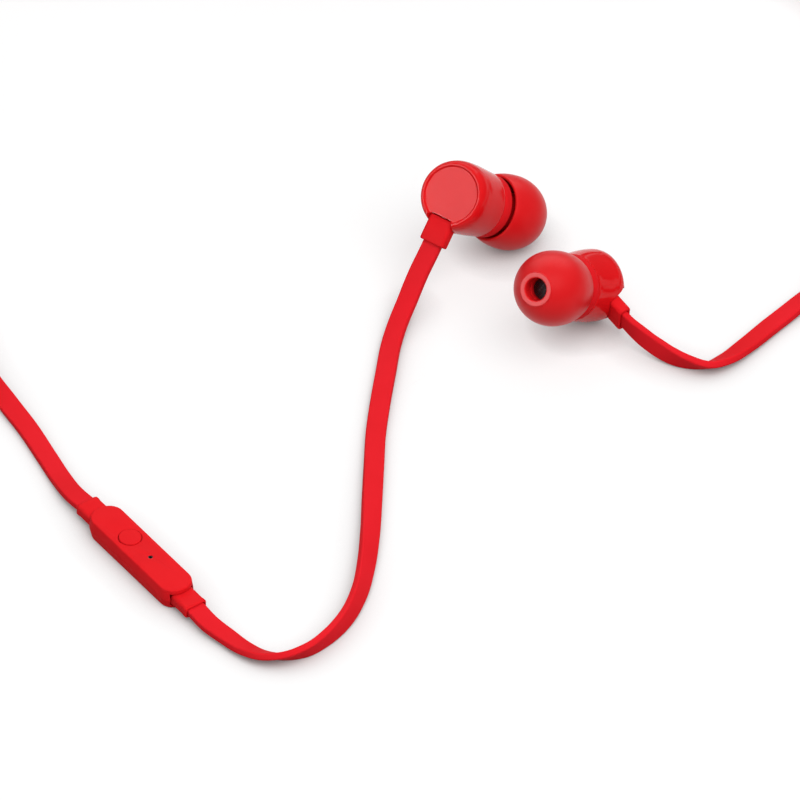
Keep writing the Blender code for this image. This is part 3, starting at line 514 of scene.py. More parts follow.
def front_shell_mesh():
    """Satin front half: seam edge, tapered band, round shoulder, nozzle with a retaining lip."""
    seam = SHELL_LENGTH + 0.1
    spigot_inner = SPIGOT_RADIUS - 0.65
    line = rounded(
        [
            (NOZZLE_BORE, NOZZLE_END, 0.1),
            (NOZZLE_RADIUS, NOZZLE_END, 0.2),
            (NOZZLE_RADIUS, NOZZLE_END - 1.0, 0.1),
            (NOZZLE_RADIUS - 0.15, NOZZLE_END - 1.2, 0.1),
            (NOZZLE_RADIUS - 0.15, SHOULDER_Z + 0.5, 0.3),
            (FRONT_RADIUS - 0.28, SHOULDER_Z + 0.05, 0.75),
            (FRONT_RADIUS - 0.02, seam + 0.7, 0.5),
            (FRONT_RADIUS, seam, 0.1),
            (SPIGOT_RADIUS, seam, 0),
            (SPIGOT_RADIUS, SPIGOT_LOW, 0),
            (spigot_inner, SPIGOT_LOW, 0),
            (spigot_inner, seam + 0.3, 0.2),
            (2.6, SHOULDER_Z - 0.5, 0.2),
            (NOZZLE_BORE, SHOULDER_Z + 0.3, 0),
        ],
        closed=True,
    )
    return smooth(turned_mesh("front_shell", line, 128, closed=True), 38)


def ear_tip_mesh():
    """Soft tip: raised end ring round the bore, round dome, thin skirt and the sleeve on the nozzle."""
    last = math.acos(TIP_END_RADIUS / TIP_RADIUS)
    tall = (TIP_END_Z - TIP_END_RISE - TIP_WIDEST_Z) / math.sin(last)
    outside = []
    for k in range(29):
        a = last * (1 - k / 28)
        outside.append((TIP_RADIUS * math.cos(a), TIP_WIDEST_Z + tall * math.sin(a)))
    skirt = TIP_WIDEST_Z - TIP_RIM_Z
    for k in range(1, 11):
        t = k / 10
        outside.append((TIP_RADIUS - (TIP_RADIUS - TIP_RIM_RADIUS) * t**2.2, TIP_WIDEST_Z - skirt * t))
    sleeve_inner = NOZZLE_RADIUS + 0.06
    sleeve_outer = sleeve_inner + 0.7
    roof = TIP_END_Z - 1.7
    inside = TIP_RADIUS - TIP_WALL
    inner_line = rounded(
        [
            (TIP_RIM_RADIUS, TIP_RIM_Z, 0),
            (TIP_RIM_RADIUS - 0.1, TIP_RIM_Z - 0.12, 0.08),
            (TIP_RIM_RADIUS - 0.42, TIP_RIM_Z - 0.12, 0.12),
            (TIP_RIM_RADIUS - 0.5, TIP_RIM_Z + 0.15, 0.2),
            (inside - 0.1, TIP_WIDEST_Z - 1.4, 1.5),
            (inside, TIP_WIDEST_Z, 1.5),
            (inside - 0.4, TIP_WIDEST_Z + 2.2, 2.0),
            (4.4, roof - 0.5, 0.6),
            (sleeve_outer + 0.3, roof, 0.25),
            (sleeve_outer, roof - 0.4, 0.2),
            (sleeve_outer, TIP_RIM_Z + 1.0, 0.2),
            (sleeve_inner, TIP_RIM_Z + 1.0, 0.1),
            (sleeve_inner, NOZZLE_END + 0.1, 0.1),
            (TIP_BORE, NOZZLE_END + 0.35, 0.15),
            (TIP_BORE, TIP_END_Z, 0.22),
            (TIP_END_RADIUS - 0.05, TIP_END_Z, 0.12),
            (TIP_END_RADIUS, TIP_END_Z - TIP_END_RISE, 0),
        ]
    )
    line = outside + inner_line[1:-1]
    return smooth(turned_mesh("ear_tip", line, 128, closed=True), 40)


def strain_relief_mesh(twist):
    """Moulded sleeve: rounded edges, turned with the cable, and open where the cable goes in."""
    start, end = RELIEF_INNER, RELIEF_OUTER
    rows = [(start, 0.22), (start + 0.07, 0.07), (start + 0.22, 0.0), (end - 0.3, 0.0), (end - 0.12, 0.03),
            (end - 0.03, 0.1), (end, 0.2)]
    sections = [(x, RELIEF_WIDTH - 2 * inset, RELIEF_THICK - 2 * inset, 0.6) for x, inset in rows]
    sections += [(end - 0.04, 3.7, 1.6, 0.55), (end - RELIEF_RECESS, *RELIEF_MOUTH)]
    rings = []
    for x, width, height, corner in sections:
        rings.append([Vector((x, y, RELIEF_MIDDLE + z)) for y, z in plan(width, height, corner)])
    mesh = lofted_mesh("strain_relief", rings)
    mesh.transform(sleeve_turn(twist))
    return smooth(mesh, 50)


def woven_screen():
    """Node tree for a round woven screen: two crossed rows of fine wires inside a ring."""
    tree = bpy.data.node_groups.new("woven_screen", "GeometryNodeTree")
    for name, kind in (("Radius", "NodeSocketFloat"), ("Pitch", "NodeSocketFloat"), ("Wire", "NodeSocketFloat"),
                       ("Finish", "NodeSocketMaterial")):
        tree.interface.new_socket(name, in_out="INPUT", socket_type=kind)
    tree.interface.new_socket("Geometry", in_out="OUTPUT", socket_type="NodeSocketGeometry")
    nodes, links = tree.nodes, tree.links
    entry = nodes.new("NodeGroupInput")
    result = nodes.new("NodeGroupOutput")
    maths = maths_in(tree)
    radius, pitch, wire = (entry.outputs[name] for name in ("Radius", "Pitch", "Wire"))
    rows = maths("FLOOR", maths("DIVIDE", maths("MULTIPLY", radius, 1.96), pitch))
    start = maths("MULTIPLY", maths("SUBTRACT", rows, 1.0), maths("MULTIPLY", pitch, -0.5))
    origin = nodes.new("ShaderNodeCombineXYZ")
    links.new(start, origin.inputs["Y"])
    offset = nodes.new("ShaderNodeCombineXYZ")
    links.new(pitch, offset.inputs["Y"])
    line = nodes.new("GeometryNodeMeshLine")
    links.new(rows, line.inputs["Count"])
    links.new(origin.outputs[0], line.inputs["Start Location"])
    links.new(offset.outputs[0], line.inputs["Offset"])

    position = nodes.new("GeometryNodeInputPosition")
    parts = nodes.new("ShaderNodeSeparateXYZ")
    links.new(position.outputs[0], parts.inputs[0])
    share = maths("DIVIDE", parts.outputs["Y"], radius)
    chord = maths("SQRT", maths("MAXIMUM", maths("SUBTRACT", 1.0, maths("MULTIPLY", share, share)), 0.02))
    stretch = nodes.new("ShaderNodeCombineXYZ")
    stretch.inputs["X"].default_value = 1.0
    stretch.inputs["Y"].default_value = 1.0
    links.new(chord, stretch.inputs["Z"])
    rod = nodes.new("GeometryNodeMeshCylinder")
    rod.inputs["Vertices"].default_value = 6
    links.new(wire, rod.inputs["Radius"])
    links.new(maths("MULTIPLY", radius, 2.0), rod.inputs["Depth"])
    row = nodes.new("GeometryNodeInstanceOnPoints")
    row.inputs["Rotation"].default_value = (0.0, QUARTER_TURN, 0.0)
    links.new(line.outputs["Mesh"], row.inputs["Points"])
    links.new(rod.outputs["Mesh"], row.inputs["Instance"])
    links.new(stretch.outputs[0], row.inputs["Scale"])

    crossed = nodes.new("GeometryNodeTransform")
    crossed.inputs["Rotation"].default_value = (0.0, 0.0, QUARTER_TURN)
    lift = nodes.new("ShaderNodeCombineXYZ")
    links.new(wire, lift.inputs["Z"])
    links.new(lift.outputs[0], crossed.inputs["Translation"])
    links.new(row.outputs["Instances"], crossed.inputs["Geometry"])
    both = nodes.new("GeometryNodeJoinGeometry")
    links.new(row.outputs["Instances"], both.inputs[0])
    links.new(crossed.outputs["Geometry"], both.inputs[0])
    real = nodes.new("GeometryNodeRealizeInstances")
    links.new(both.outputs[0], real.inputs[0])
    painted = nodes.new("GeometryNodeSetMaterial")
    links.new(real.outputs[0], painted.inputs["Geometry"])
    links.new(entry.outputs["Finish"], painted.inputs["Material"])
    links.new(painted.outputs[0], result.inputs[0])
    return tree


def grown(tree, **inputs):
    """The plain mesh that a node tree makes with these named inputs."""
    host = linked("grown", bpy.data.meshes.new("grown"))
    modifier = host.modifiers.new("Grow", "NODES")
    modifier.node_group = tree
    for item in tree.interface.items_tree:
        if item.in_out == "INPUT" and item.name in inputs:
            modifier[item.identifier] = inputs[item.name]
    mesh = baked(host)
    host.modifiers.remove(modifier)
    bpy.data.objects.remove(host, do_unlink=True)
    return mesh


SCREEN = woven_screen()


def earbud(side, place, axis, exit_axis, bend_degrees, twist_degrees):
    """One earbud, all its visible pieces; returns the matrix of its rear face."""
    bend_turn, twist = math.radians(bend_degrees), math.radians(twist_degrees)
    rear = earbud_matrix(place, axis, exit_axis)
    front = rear @ bend_matrix(BEND_END, bend_turn) @ Matrix.Translation((0, 0, -BEND_END * MM))
    piece(f"{side}_polished_cup", rear_shell_mesh(bend_turn, twist), f"{side}_rear_shell", rear)
    piece(f"{side}_satin_front", front_shell_mesh(), f"{side}_front_shell", front)
    piece(f"{side}_silicone_tip", ear_tip_mesh(), f"{side}_ear_tip", front, f"{side}_tip")
    piece(f"{side}_cable_sleeve", strain_relief_mesh(twist), f"{side}_strain_relief", rear)
    # The screens take the near-black steel, which is painted shade of the deep nozzle bore.
    dark = FINISHES["screen_steel_painted_bore_shade"]
    radius = (NOZZLE_BORE - 0.1) * MM
    weave = grown(SCREEN, Radius=radius, Pitch=SCREEN_PITCH * MM, Wire=SCREEN_WIRE * MM, Finish=dark)
    seat = front @ Matrix.Translation((0, 0, (NOZZLE_END - SCREEN_SINK) * MM))
    piece(f"{side}_woven_screen", smooth(weave, 60), f"{side}_nozzle_screen", seat, look=dark)
    return rear


# Remote


def remote_meshes():
    """Top and bottom shells that meet at the widest line, with the openings cut in them."""
    wide = (REMOTE_LENGTH, REMOTE_WIDTH)
    base = (REMOTE_LENGTH - 0.6, REMOTE_WIDTH - 0.6)
    crown = (REMOTE_LENGTH - 0.4, REMOTE_TOP_WIDTH)
    seam = 0.02
    low = soft_levels(0.0, REMOTE_PARTING - seam, base, wide, REMOTE_CORNER, 0.25, 0.03)
    high = soft_levels(REMOTE_PARTING + seam, REMOTE_HEIGHT, wide, crown, REMOTE_CORNER, 0.03, 0.22)
    bottom = slab_mesh("remote_bottom", low)
    top = slab_mesh("remote_top", high)

    def cutters():
        inside = (REMOTE_LENGTH - 2.4, REMOTE_TOP_WIDTH - 1.2, 1.9)
        hollow = slab_mesh("hollow", [(REMOTE_WALL - 0.1, *inside), (REMOTE_HEIGHT - REMOTE_WALL, *inside)])
        _, wide_relief, thick = REMOTE_RELIEF
        passage = (REMOTE_LENGTH + 4.0, wide_relief + 0.3, 0.5)
        slot = slab_mesh("slot", [(REMOTE_PARTING - thick / 2 - 0.15, *passage),
                                  (REMOTE_PARTING + thick / 2 + 0.15, *passage)])
        return [hollow, slot]

    bottom = smooth(carved(bottom, cutters()), 38)
    holes = []
    for x, radius in ((BUTTON_X, BUTTON_RADIUS + 0.13), (MIC_X, MIC_HOLE)):
        hole = turned_mesh("hole", [(0.0, 2.3), (radius, 2.3), (radius, 6.0), (0.0, 6.0)], 96)
        hole.transform(Matrix.Translation((x * MM, 0, 0)))
        holes.append(hole)
    top = smooth(carved(top, cutters() + holes, edge=0.05), 38)
    return bottom, top


def end_relief_mesh():
    """Sleeve at an end of the remote, along +X from the shell, with soft edges."""
    long, wide, thick = REMOTE_RELIEF
    start, end = REMOTE_LENGTH / 2 - 0.9, REMOTE_LENGTH / 2 + long
    rows = [(start, 0.2), (start + 0.06, 0.06), (start + 0.2, 0.0), (end - 1.2, 0.02), (end - 0.5, -0.04),
            (end - 0.2, -0.02), (end - 0.05, 0.08), (end, 0.2)]
    rings = []
    for x, inset in rows:
        outline = plan(wide - 2 * inset, thick - 2 * inset, 0.6)
        rings.append([Vector((x, y, REMOTE_PARTING + z)) for y, z in outline])
    rings.append([Vector((end - RELIEF_RECESS, y, REMOTE_PARTING + z)) for y, z in plan(*RELIEF_MOUTH)])
    return smooth(lofted_mesh("end_relief", rings), 50)


def button_mesh():
    """Round button with a low crown, held in the shell by its flange."""
    base = 2.5
    crown = REMOTE_HEIGHT + 0.18
    line = rounded(
        [
            (0.0, crown, 0),
            (BUTTON_RADIUS, crown - 0.04, 0.12),
            (BUTTON_RADIUS, base + 0.3, 0),
            (BUTTON_FLANGE, base + 0.3, 0),
            (BUTTON_FLANGE, base, 0),
            (0.0, base, 0),
        ]
    )
    mesh = turned_mesh("button", line, 96)
    mesh.transform(Matrix.Translation((BUTTON_X * MM, 0, 0)))
    return smooth(mesh, 38)


def microphone_port():
    """Black cup that lines the sound hole above the microphone."""
    line = rounded(
        [
            (0.0, 2.95, 0),
            (0.3, 2.95, 0.05),
            (0.3, REMOTE_HEIGHT - 0.06, 0),
            (MIC_HOLE - 0.01, REMOTE_HEIGHT - 0.06, 0.02),
            (MIC_HOLE - 0.01, 2.85, 0.02),
            (0.0, 2.85, 0),
        ]
    )
    mesh = turned_mesh("microphone_port", line, 48)
    mesh.transform(Matrix.Rotation(REMOTE_HEADING, 4, "Z") @ Matrix.Translation((MIC_X * MM, 0, 0)))
    return placed("microphone_port", smooth(mesh, 38), "black_plastic")


def remote():
    """The in-line remote; returns its pieces."""
    heading = Matrix.Rotation(REMOTE_HEADING, 4, "Z")
    bottom, top = remote_meshes()
    pieces = [
        piece("remote_lower_half", bottom, "remote_bottom_shell", heading),
        piece("remote_upper_half", top, "remote_top_shell", heading),
        piece("remote_push_button", button_mesh(), "remote_button", heading, "button"),
        microphone_port(),
    ]
    for node, turn in (("remote_relief_lower", 0.0), ("remote_relief_upper", math.pi)):
        matrix = heading @ Matrix.Rotation(turn, 4, "Z")
        pieces.append(piece(f"{node}_sleeve", end_relief_mesh(), node, matrix))
    return pieces


# Flat cables


CABLE_OUTLINE = plan(CABLE_WIDTH, CABLE_THICK, CABLE_CORNER, steps=5)


def lying_height(turn):
    """Height of the cable's middle when its lowest edge is on the surface."""
    return max(x * math.sin(turn) + y * math.cos(turn) for x, y in CABLE_OUTLINE) + CABLE_REST


def smooth_route(rows, step):
    """Samples (position in mm, turn) of a smooth curve through (x, y, lift, degrees) rows."""
    knots = np.array([rows[0], *rows, rows[-1]], float)
    knots[0] = 2 * knots[1] - knots[2]
    knots[-1] = 2 * knots[-2] - knots[-3]
    gaps = np.linalg.norm(np.diff(knots[:, :3], axis=0), axis=1)[:, None]
    steps = np.diff(knots, axis=0) / gaps
    slopes = (steps[:-1] * gaps[1:] + steps[1:] * gaps[:-1]) / (gaps[:-1] + gaps[1:])
    dense = []
    for p1, p2, slope_1, slope_2, gap in zip(knots[1:], knots[2:], slopes, slopes[1:], gaps[1:]):
        for t in np.linspace(0, 1, 48, endpoint=False):
            dense.append(
                (2 * t**3 - 3 * t**2 + 1) * p1
                + (t**3 - 2 * t**2 + t) * slope_1 * gap
                + (3 * t**2 - 2 * t**3) * p2
                + (t**3 - t**2) * slope_2 * gap
            )
    dense = np.array([*dense, knots[-2]])
    along = np.concatenate([[0], np.cumsum(np.linalg.norm(np.diff(dense[:, :3], axis=0), axis=1))])
    stations = np.linspace(0, along[-1], max(3, round(along[-1] / step) + 1))
    samples = []
    for station in stations:
        x, y, lift, degrees = (np.interp(station, along, dense[:, i]) for i in range(4))
        turn = math.radians(degrees)
        samples.append((Vector((x, y, lift + lying_height(turn))), turn))
    return samples


def ribbon_mesh(name, samples):
    """Flat cable along samples, with rounded long edges and a UV map laid along it in metres."""
    places = [position for position, _ in samples]
    count = len(CABLE_OUTLINE)
    verts, along = [], [0.0]
    for i, (position, turn) in enumerate(samples):
        before, after = places[max(i - 1, 0)], places[min(i + 1, len(places) - 1)]
        ahead = (after - before).normalized()
        level = ahead.cross(UP).normalized()
        rise = level.cross(ahead)
        across = level * math.cos(turn) + rise * math.sin(turn)
        through = ahead.cross(across) * -1
        verts += [(position + across * x + through * y) * MM for x, y in CABLE_OUTLINE]
        if i:
            along.append(along[-1] + (position - places[i - 1]).length * MM)
    mesh = bpy.data.meshes.new(name)
    mesh.from_pydata(verts, [], ring_faces(len(samples), count))
    bm = bmesh.new()
    bm.from_mesh(mesh)
    bmesh.ops.recalc_face_normals(bm, faces=bm.faces)
    lay = bm.loops.layers.uv.new("UVMap")
    bm.verts.ensure_lookup_table()
    for face in bm.faces:
        rings = [loop.vert.index // count for loop in face.loops]
        around = [loop.vert.index % count for loop in face.loops]
        wraps = max(around) - min(around) > count / 2
        for loop, ring, place in zip(face.loops, rings, around):
            place = place + count if wraps and place < count / 2 else place
            loop[lay].uv = (along[ring] * 50, place / count)
    bm.to_mesh(mesh)
    bm.free()
    return smooth(mesh, 60)


def exit_rows(rear, twist_degrees, near_turn):
    """First two rows of a cable that leaves an earbud's sleeve straight, from inside its opening."""
    ahead, side, front = (rear.to_3x3().col[i] for i in range(3))
    twist = math.radians(twist_degrees)
    across = side * math.cos(twist) + front * math.sin(twist)
    level = ahead.cross(UP).normalized()
    turn = math.degrees(math.atan2(across.dot(level.cross(ahead)), across.dot(level)))
    turn += 180 * round((near_turn - turn) / 180)
    rows = []
    for reach in (CABLE_SEAT, 1.5):
        point = rear @ (Vector((RELIEF_OUTER + reach, 0.0, RELIEF_MIDDLE)) * MM) / MM
        rows.append((point.x, point.y, point.z - lying_height(math.radians(turn)), turn))
    return rows


def remote_rows(way, turn):
    """Two rows of a cable that meets an end of the remote, the nearer row first."""
    rows = []
    for reach, sink in ((CABLE_SEAT, 0.0), (MEET_GAP + CABLE_WIDTH, 0.35)):
        x = way * (REMOTE_LENGTH / 2 + REMOTE_RELIEF[0] + reach)
        lift = REMOTE_PARTING - lying_height(math.radians(turn)) - sink
        rows.append((x * math.cos(REMOTE_HEADING), x * math.sin(REMOTE_HEADING), lift, turn))
    return rows


def splitter_rows(side, outside):
    """Two rows of a cable on its edge that meets the splitter, the nearer row first."""
    lift = SPLITTER_MIDDLE - CABLE_WIDTH / 2
    face = SPLITTER_START if outside < 0 else SPLITTER_START + SPLITTER_LENGTH
    near = face + outside * 0.02
    y = SPLITTER_Y + side * LEAD_SPREAD / 2
    return [(near, y, lift, 90), (near + outside * CABLE_WIDTH, y, lift, 90)]


def left_cable_rows(rear):
    """Left earbud to remote: down to the surface, over on its edge in the bend, and back flat."""
    return exit_rows(rear, LEFT_EARBUD[4], 0) + [
        (44.5, 63.9, 5.1, 0),
        (43.5, 62.2, 3.4, -3),
        (42.7, 60.5, 2.1, -7),
        (41.7, 58.1, 1.0, -11),
        (40.8, 55.3, 0.25, -13),
        (40.2, 52.7, 0, -12),
        (39.2, 45.3, 0, -8),
        (38.3, 38.0, 0, -3),
        (37.6, 30.7, 0, 2),
        (37.3, 23.0, 0, 10),
        (37.0, 14.5, 0, 20),
        (36.7, 6.4, 0, 32),
        (36.1, -1.2, 0, 46),
        (34.9, -8.5, 0, 61),
        (32.7, -14.6, 0, 76),
        (29.9, -18.8, 0, 92),
        (26.5, -22.0, 0, 110),
        (22.9, -23.2, 0, 132),
        (19.4, -22.7, 0, 150),
        (16.6, -20.8, 0, 163),
        (13.7, -18.0, 0.3, 174),
        *reversed(remote_rows(1, 180)),
    ]


def left_lead_rows():
    """Remote to splitter."""
    return remote_rows(-1, 0) + [
        (-13.0, 19.8, 0.2, 0),
        (-15.4, 25.3, 0, 0),
        (-18.3, 31.6, 0, 5),
        (-21.8, 38.0, 0, 15),
        (-25.6, 45.0, 0, 40),
        (-28.6, 54.0, 0, 70),
        (-30.3, 66.0, 0, 90),
        (-30.9, 82.0, 0, 90),
        (-31.2, 100.0, 0, 90),
        (-31.9, 118.0, 0, 90),
        (-33.0, 134.0, 0, 90),
        (-33.9, 145.0, 0, 90),
        (-33.6, 152.0, 0.2, 90),
        (-30.6, 157.8, 0.4, 90),
        *reversed(splitter_rows(1, -1)),
    ]


def right_lead_rows(rear):
    """Right earbud to splitter."""
    return exit_rows(rear, RIGHT_EARBUD[4], 90) + [
        (80.0, 51.95, 1.85, 93),
        (81.8, 50.7, 1.0, 95),
        (83.4, 49.6, 0.5, 97),
        (85.4, 48.3, 0.15, 88),
        (88.4, 46.9, 0, 66),
        (91.4, 46.5, 0, 42),
        (94.2, 48.3, 0, 25),
        (97.3, 51.7, 0, 12),
        (101.0, 56.2, 0, 6),
        (105.5, 61.4, 0, 10),
        (110.5, 67.5, 0, 40),
        (114.2, 76.0, 0, 75),
        (115.4, 88.0, 0, 90),
        (114.2, 101.0, 0, 90),
        (113.0, 113.0, 0, 90),
        (113.8, 125.0, 0, 90),
        (112.0, 135.5, 0, 90),
        (105.5, 142.0, 0, 90),
        (95.0, 144.2, 0, 90),
        (78.0, 143.0, 0, 90),
        (60.0, 144.0, 0, 90),
        (40.0, 143.0, 0, 90),
        (20.0, 144.0, 0, 90),
        (0.0, 143.2, 0, 90),
        (-14.0, 142.8, 0, 90),
        (-24.0, 143.2, 0, 90),
        (-29.5, 146.0, 0, 90),
        (-31.2, 150.8, 0.2, 90),
        (-29.2, 155.6, 0.4, 90),
        *reversed(splitter_rows(-1, -1)),
    ]


def hank_loops(run_steps=20, end_steps=32):
    """Racetrack spiral in and out, drawn in at its waist, climbing a layer where it turns back."""
    cx, cy = HANK_CENTRE
    run_share = HANK_RUN / (2 * HANK_RUN + 2 * math.pi * (HANK_OUTER - HANK_PITCH * HANK_LOOPS / 4))
    total = HANK_LOOPS + run_share
    samples = []
    for step in range(HANK_LOOPS * 2 * (run_steps + end_steps) + run_steps + 1):
        loop, place = divmod(step, 2 * (run_steps + end_steps))
        back, place = divmod(place, run_steps + end_steps)
        way = -1 if back else 1
        on_run = min(place, run_steps) / run_steps
        on_end = max(place - run_steps, 0) / end_steps
        turns = loop + back / 2 + run_share * on_run + (0.5 - run_share) * on_end
        radius = HANK_OUTER - HANK_PITCH * min(turns, total - turns)
        waist = HANK_WAIST * (1 - math.cos(2 * math.pi * on_run)) / 2
        angle = QUARTER_TURN - math.pi * on_end
        x = HANK_RUN * (on_run - 0.5) + radius * math.cos(angle)
        y = radius * math.sin(angle) - (waist if place <= run_steps else 0.0)
        climb = min(max((turns - total / 2) / run_share + 0.5, 0.0), 1.0)
        climb = climb * climb * (3 - 2 * climb)
        z = HANK_LIFT + CABLE_WIDTH / 2 + HANK_LAYER * climb
        samples.append((Vector((cx + way * x, cy + way * y, z)), QUARTER_TURN))
    return samples


def hank_samples():
    """Splitter to plug: the bend into the hank, its loops, and the run down to the plug."""
    loops = hank_loops()
    first, last = loops[0][0], loops[-1][0]
    lead_in = splitter_rows(0, 1) + [
        (0.0, 160.4, SPLITTER_MIDDLE - CABLE_WIDTH / 2, 90),
        (6.5, 164.4, HANK_LIFT, 90),
        (13.5, 169.0, HANK_LIFT, 90),
        (first.x, first.y, HANK_LIFT, 90),
    ]
    top, low = last.z - CABLE_WIDTH / 2, PLUG_START[2] - CABLE_WIDTH / 2
    meet = PLUG_START[0] - 0.02
    lead_out = [
        (last.x, last.y, top, 90),
        (last.x + 6.0, PLUG_START[1], top, 90),
        (meet - 8.0, PLUG_START[1], (top + low) / 2, 90),
        (meet - CABLE_WIDTH, PLUG_START[1], low, 90),
        (meet, PLUG_START[1], low, 90),
    ]
    return smooth_route(lead_in, 1.0)[:-1] + loops + smooth_route(lead_out, 1.0)[1:]


def flat_cable(node, samples):
    """A cable piece in place of its CAD node."""
    cable = piece(f"{node}_jacket", ribbon_mesh(node, samples), node)
    return cable


# Splitter, tie and plug


def splitter():
    """Two half shells that taper from the two leads to the main cable; returns the pieces."""
    wide, narrow = 6.4, 4.4
    pieces = []
    for node, way in (("splitter_lower_shell", -1), ("splitter_upper_shell", 1)):
        centre = SPLITTER_MIDDLE + way * (SPLITTER_HALF + SPLITTER_GAP) / 2
        rings = []
        for x, inset in ((0, 0.28), (0.06, 0.1), (0.3, 0.0), (SPLITTER_LENGTH - 0.3, 0.0),
                         (SPLITTER_LENGTH - 0.06, 0.1), (SPLITTER_LENGTH, 0.28)):
            width = wide + (narrow - wide) * x / SPLITTER_LENGTH
            outline = plan(width - 2 * inset, SPLITTER_HALF - 2 * inset, 0.6)
            rings.append([Vector((SPLITTER_START + x, SPLITTER_Y + y, centre + z)) for y, z in outline])
        pieces.append(piece(f"{node}_half", smooth(lofted_mesh(node, rings), 45), node))
    return pieces


def cable_tie():
    """Soft band round the waist of the hank."""
    cx, cy = HANK_CENTRE
    thick, half_wide = 0.4, 2.0
    reach = HANK_OUTER - HANK_WAIST + 0.9
    tall = HANK_LIFT + HANK_LAYER + CABLE_WIDTH + 0.5

    def band(grow, x):
        y, low, high = reach + grow, thick - grow, tall + grow
        corner = 1.2 + grow
        corners = [(y, high, corner), (-y, high, corner), (-y, low, corner), (y, low, corner)]
        return [Vector((cx + x, cy + a, b)) for a, b in rounded(corners, closed=True, steps=8)]

    ease = 0.12
    loops = [band(0.0, -half_wide + ease), band(ease, -half_wide), band(thick - ease, -half_wide),
             band(thick, -half_wide + ease), band(thick, half_wide - ease), band(thick - ease, half_wide),
             band(ease, half_wide), band(0.0, half_wide - ease)]
    return piece("hank_tie", smooth(lofted_mesh("hank_tie", loops, closed=True), 40), "cable_tie")


def plug():
    """Straight four-pole plug along +X; returns its pieces."""
    matrix = Matrix.Translation(Vector(PLUG_START) * MM) @ Matrix.Rotation(QUARTER_TURN, 4, "Y")
    back = PLUG_RELIEF + 0.15
    front = back + PLUG_BODY
    relief = slab_mesh("plug_relief", soft_levels(0.0, PLUG_RELIEF, (4.3, 2.5), (5.0, 4.2), 0.9, 0.35, 0.35))
    bore = JACK_RADIUS + 0.15
    body_line = rounded(
        [
            (0.0, front - 3.0, 0),
            (bore, front - 3.0, 0),
            (bore, front, 0.1),
            (PLUG_RADIUS - 0.3, front, 0.35),
            (PLUG_RADIUS, front - 3.0, 0.8),
            (PLUG_RADIUS, front - 3.4, 0.1),
            (PLUG_RADIUS - 0.25, front - 3.5, 0.1),
            (PLUG_RADIUS - 0.25, front - 4.0, 0.1),
            (PLUG_RADIUS, front - 4.1, 0.1),
            (PLUG_RADIUS, back + 0.8, 0.8),
            (PLUG_RADIUS - 0.5, back, 0.3),
            (0.0, back, 0),
        ]
    )
    core_line = [(0.0, front + 10.6)]
    for low, high in JACK_INSULATORS:
        core_line += [(JACK_RADIUS - 0.06, front + high), (JACK_RADIUS - 0.06, front + low)]
        core_line += [(JACK_CORE, front + low), (JACK_CORE, front + low - 1.7 if low > 6 else front - 2.6)]
    core_line += [(0.0, front - 2.6)]
    point = front + 10.7
    nose = rounded(
        [
            (0.0, point + 3.3, 0),
            (0.55, point + 3.25, 0.3),
            (JACK_RADIUS, point + 1.7, 0.3),
            (1.12, point + 0.75, 0.25),
            (JACK_RADIUS - 0.1, point + 0.25, 0.1),
            (JACK_RADIUS - 0.1, point, 0),
            (0.0, point, 0),
        ]
    )
    meshes = {
        "plug_relief": smooth(relief, 45),
        "plug_body": smooth(turned_mesh("plug_body", body_line, 96), 38),
        "jack_core": smooth(turned_mesh("jack_core", core_line, 64), 38),
        "jack_tip": smooth(turned_mesh("jack_tip", nose, 64), 38),
    }
    inner = JACK_CORE + 0.1
    for node, (low, high) in JACK_CONTACTS.items():
        line = rounded([(inner, front + high, 0), (JACK_RADIUS, front + high, 0.08),
                        (JACK_RADIUS, front + low, 0.08), (inner, front + low, 0)], closed=True)
        meshes[node] = smooth(turned_mesh(node, line, 64, closed=True), 38)
    return [piece(f"{node}_finished", mesh, node, matrix) for node, mesh in meshes.items()]


# The whole set; inner pieces stay as they are in the frame


def finish_frame_nodes():
    """Gives every node of the frame the finish of its slot."""
    for name, slot in SLOTS.items():
        materials = frame["nodes"][name].data.materials
        materials.clear()
        materials.append(FINISHES[slot])


finish_frame_nodes()
LEFT_REAR = earbud("left", *LEFT_EARBUD)
RIGHT_REAR = earbud("right", *RIGHT_EARBUD)
REMOTE_PIECES = remote()
SPLITTER_PIECES = splitter()
PLUG_PIECES = plug()
TIE = cable_tie()
LEFT_ROUTE = smooth_route(left_cable_rows(LEFT_REAR), 0.7)
LEAD_ROUTE = smooth_route(left_lead_rows(), 0.8)
RIGHT_ROUTE = smooth_route(right_lead_rows(RIGHT_REAR), 0.8)
flat_cable("left_cable", LEFT_ROUTE)
flat_cable("left_lead", LEAD_ROUTE)
flat_cable("right_lead", RIGHT_ROUTE)
flat_cable("main_hank", hank_samples())


# Stage, light and camera


FLOOR_SHADE = 0.45
FLOOR_GLOW = 0.57
# Reach of the painted contact shadow that dims the floor's glow
CONTACT_SHADOW = 0.006


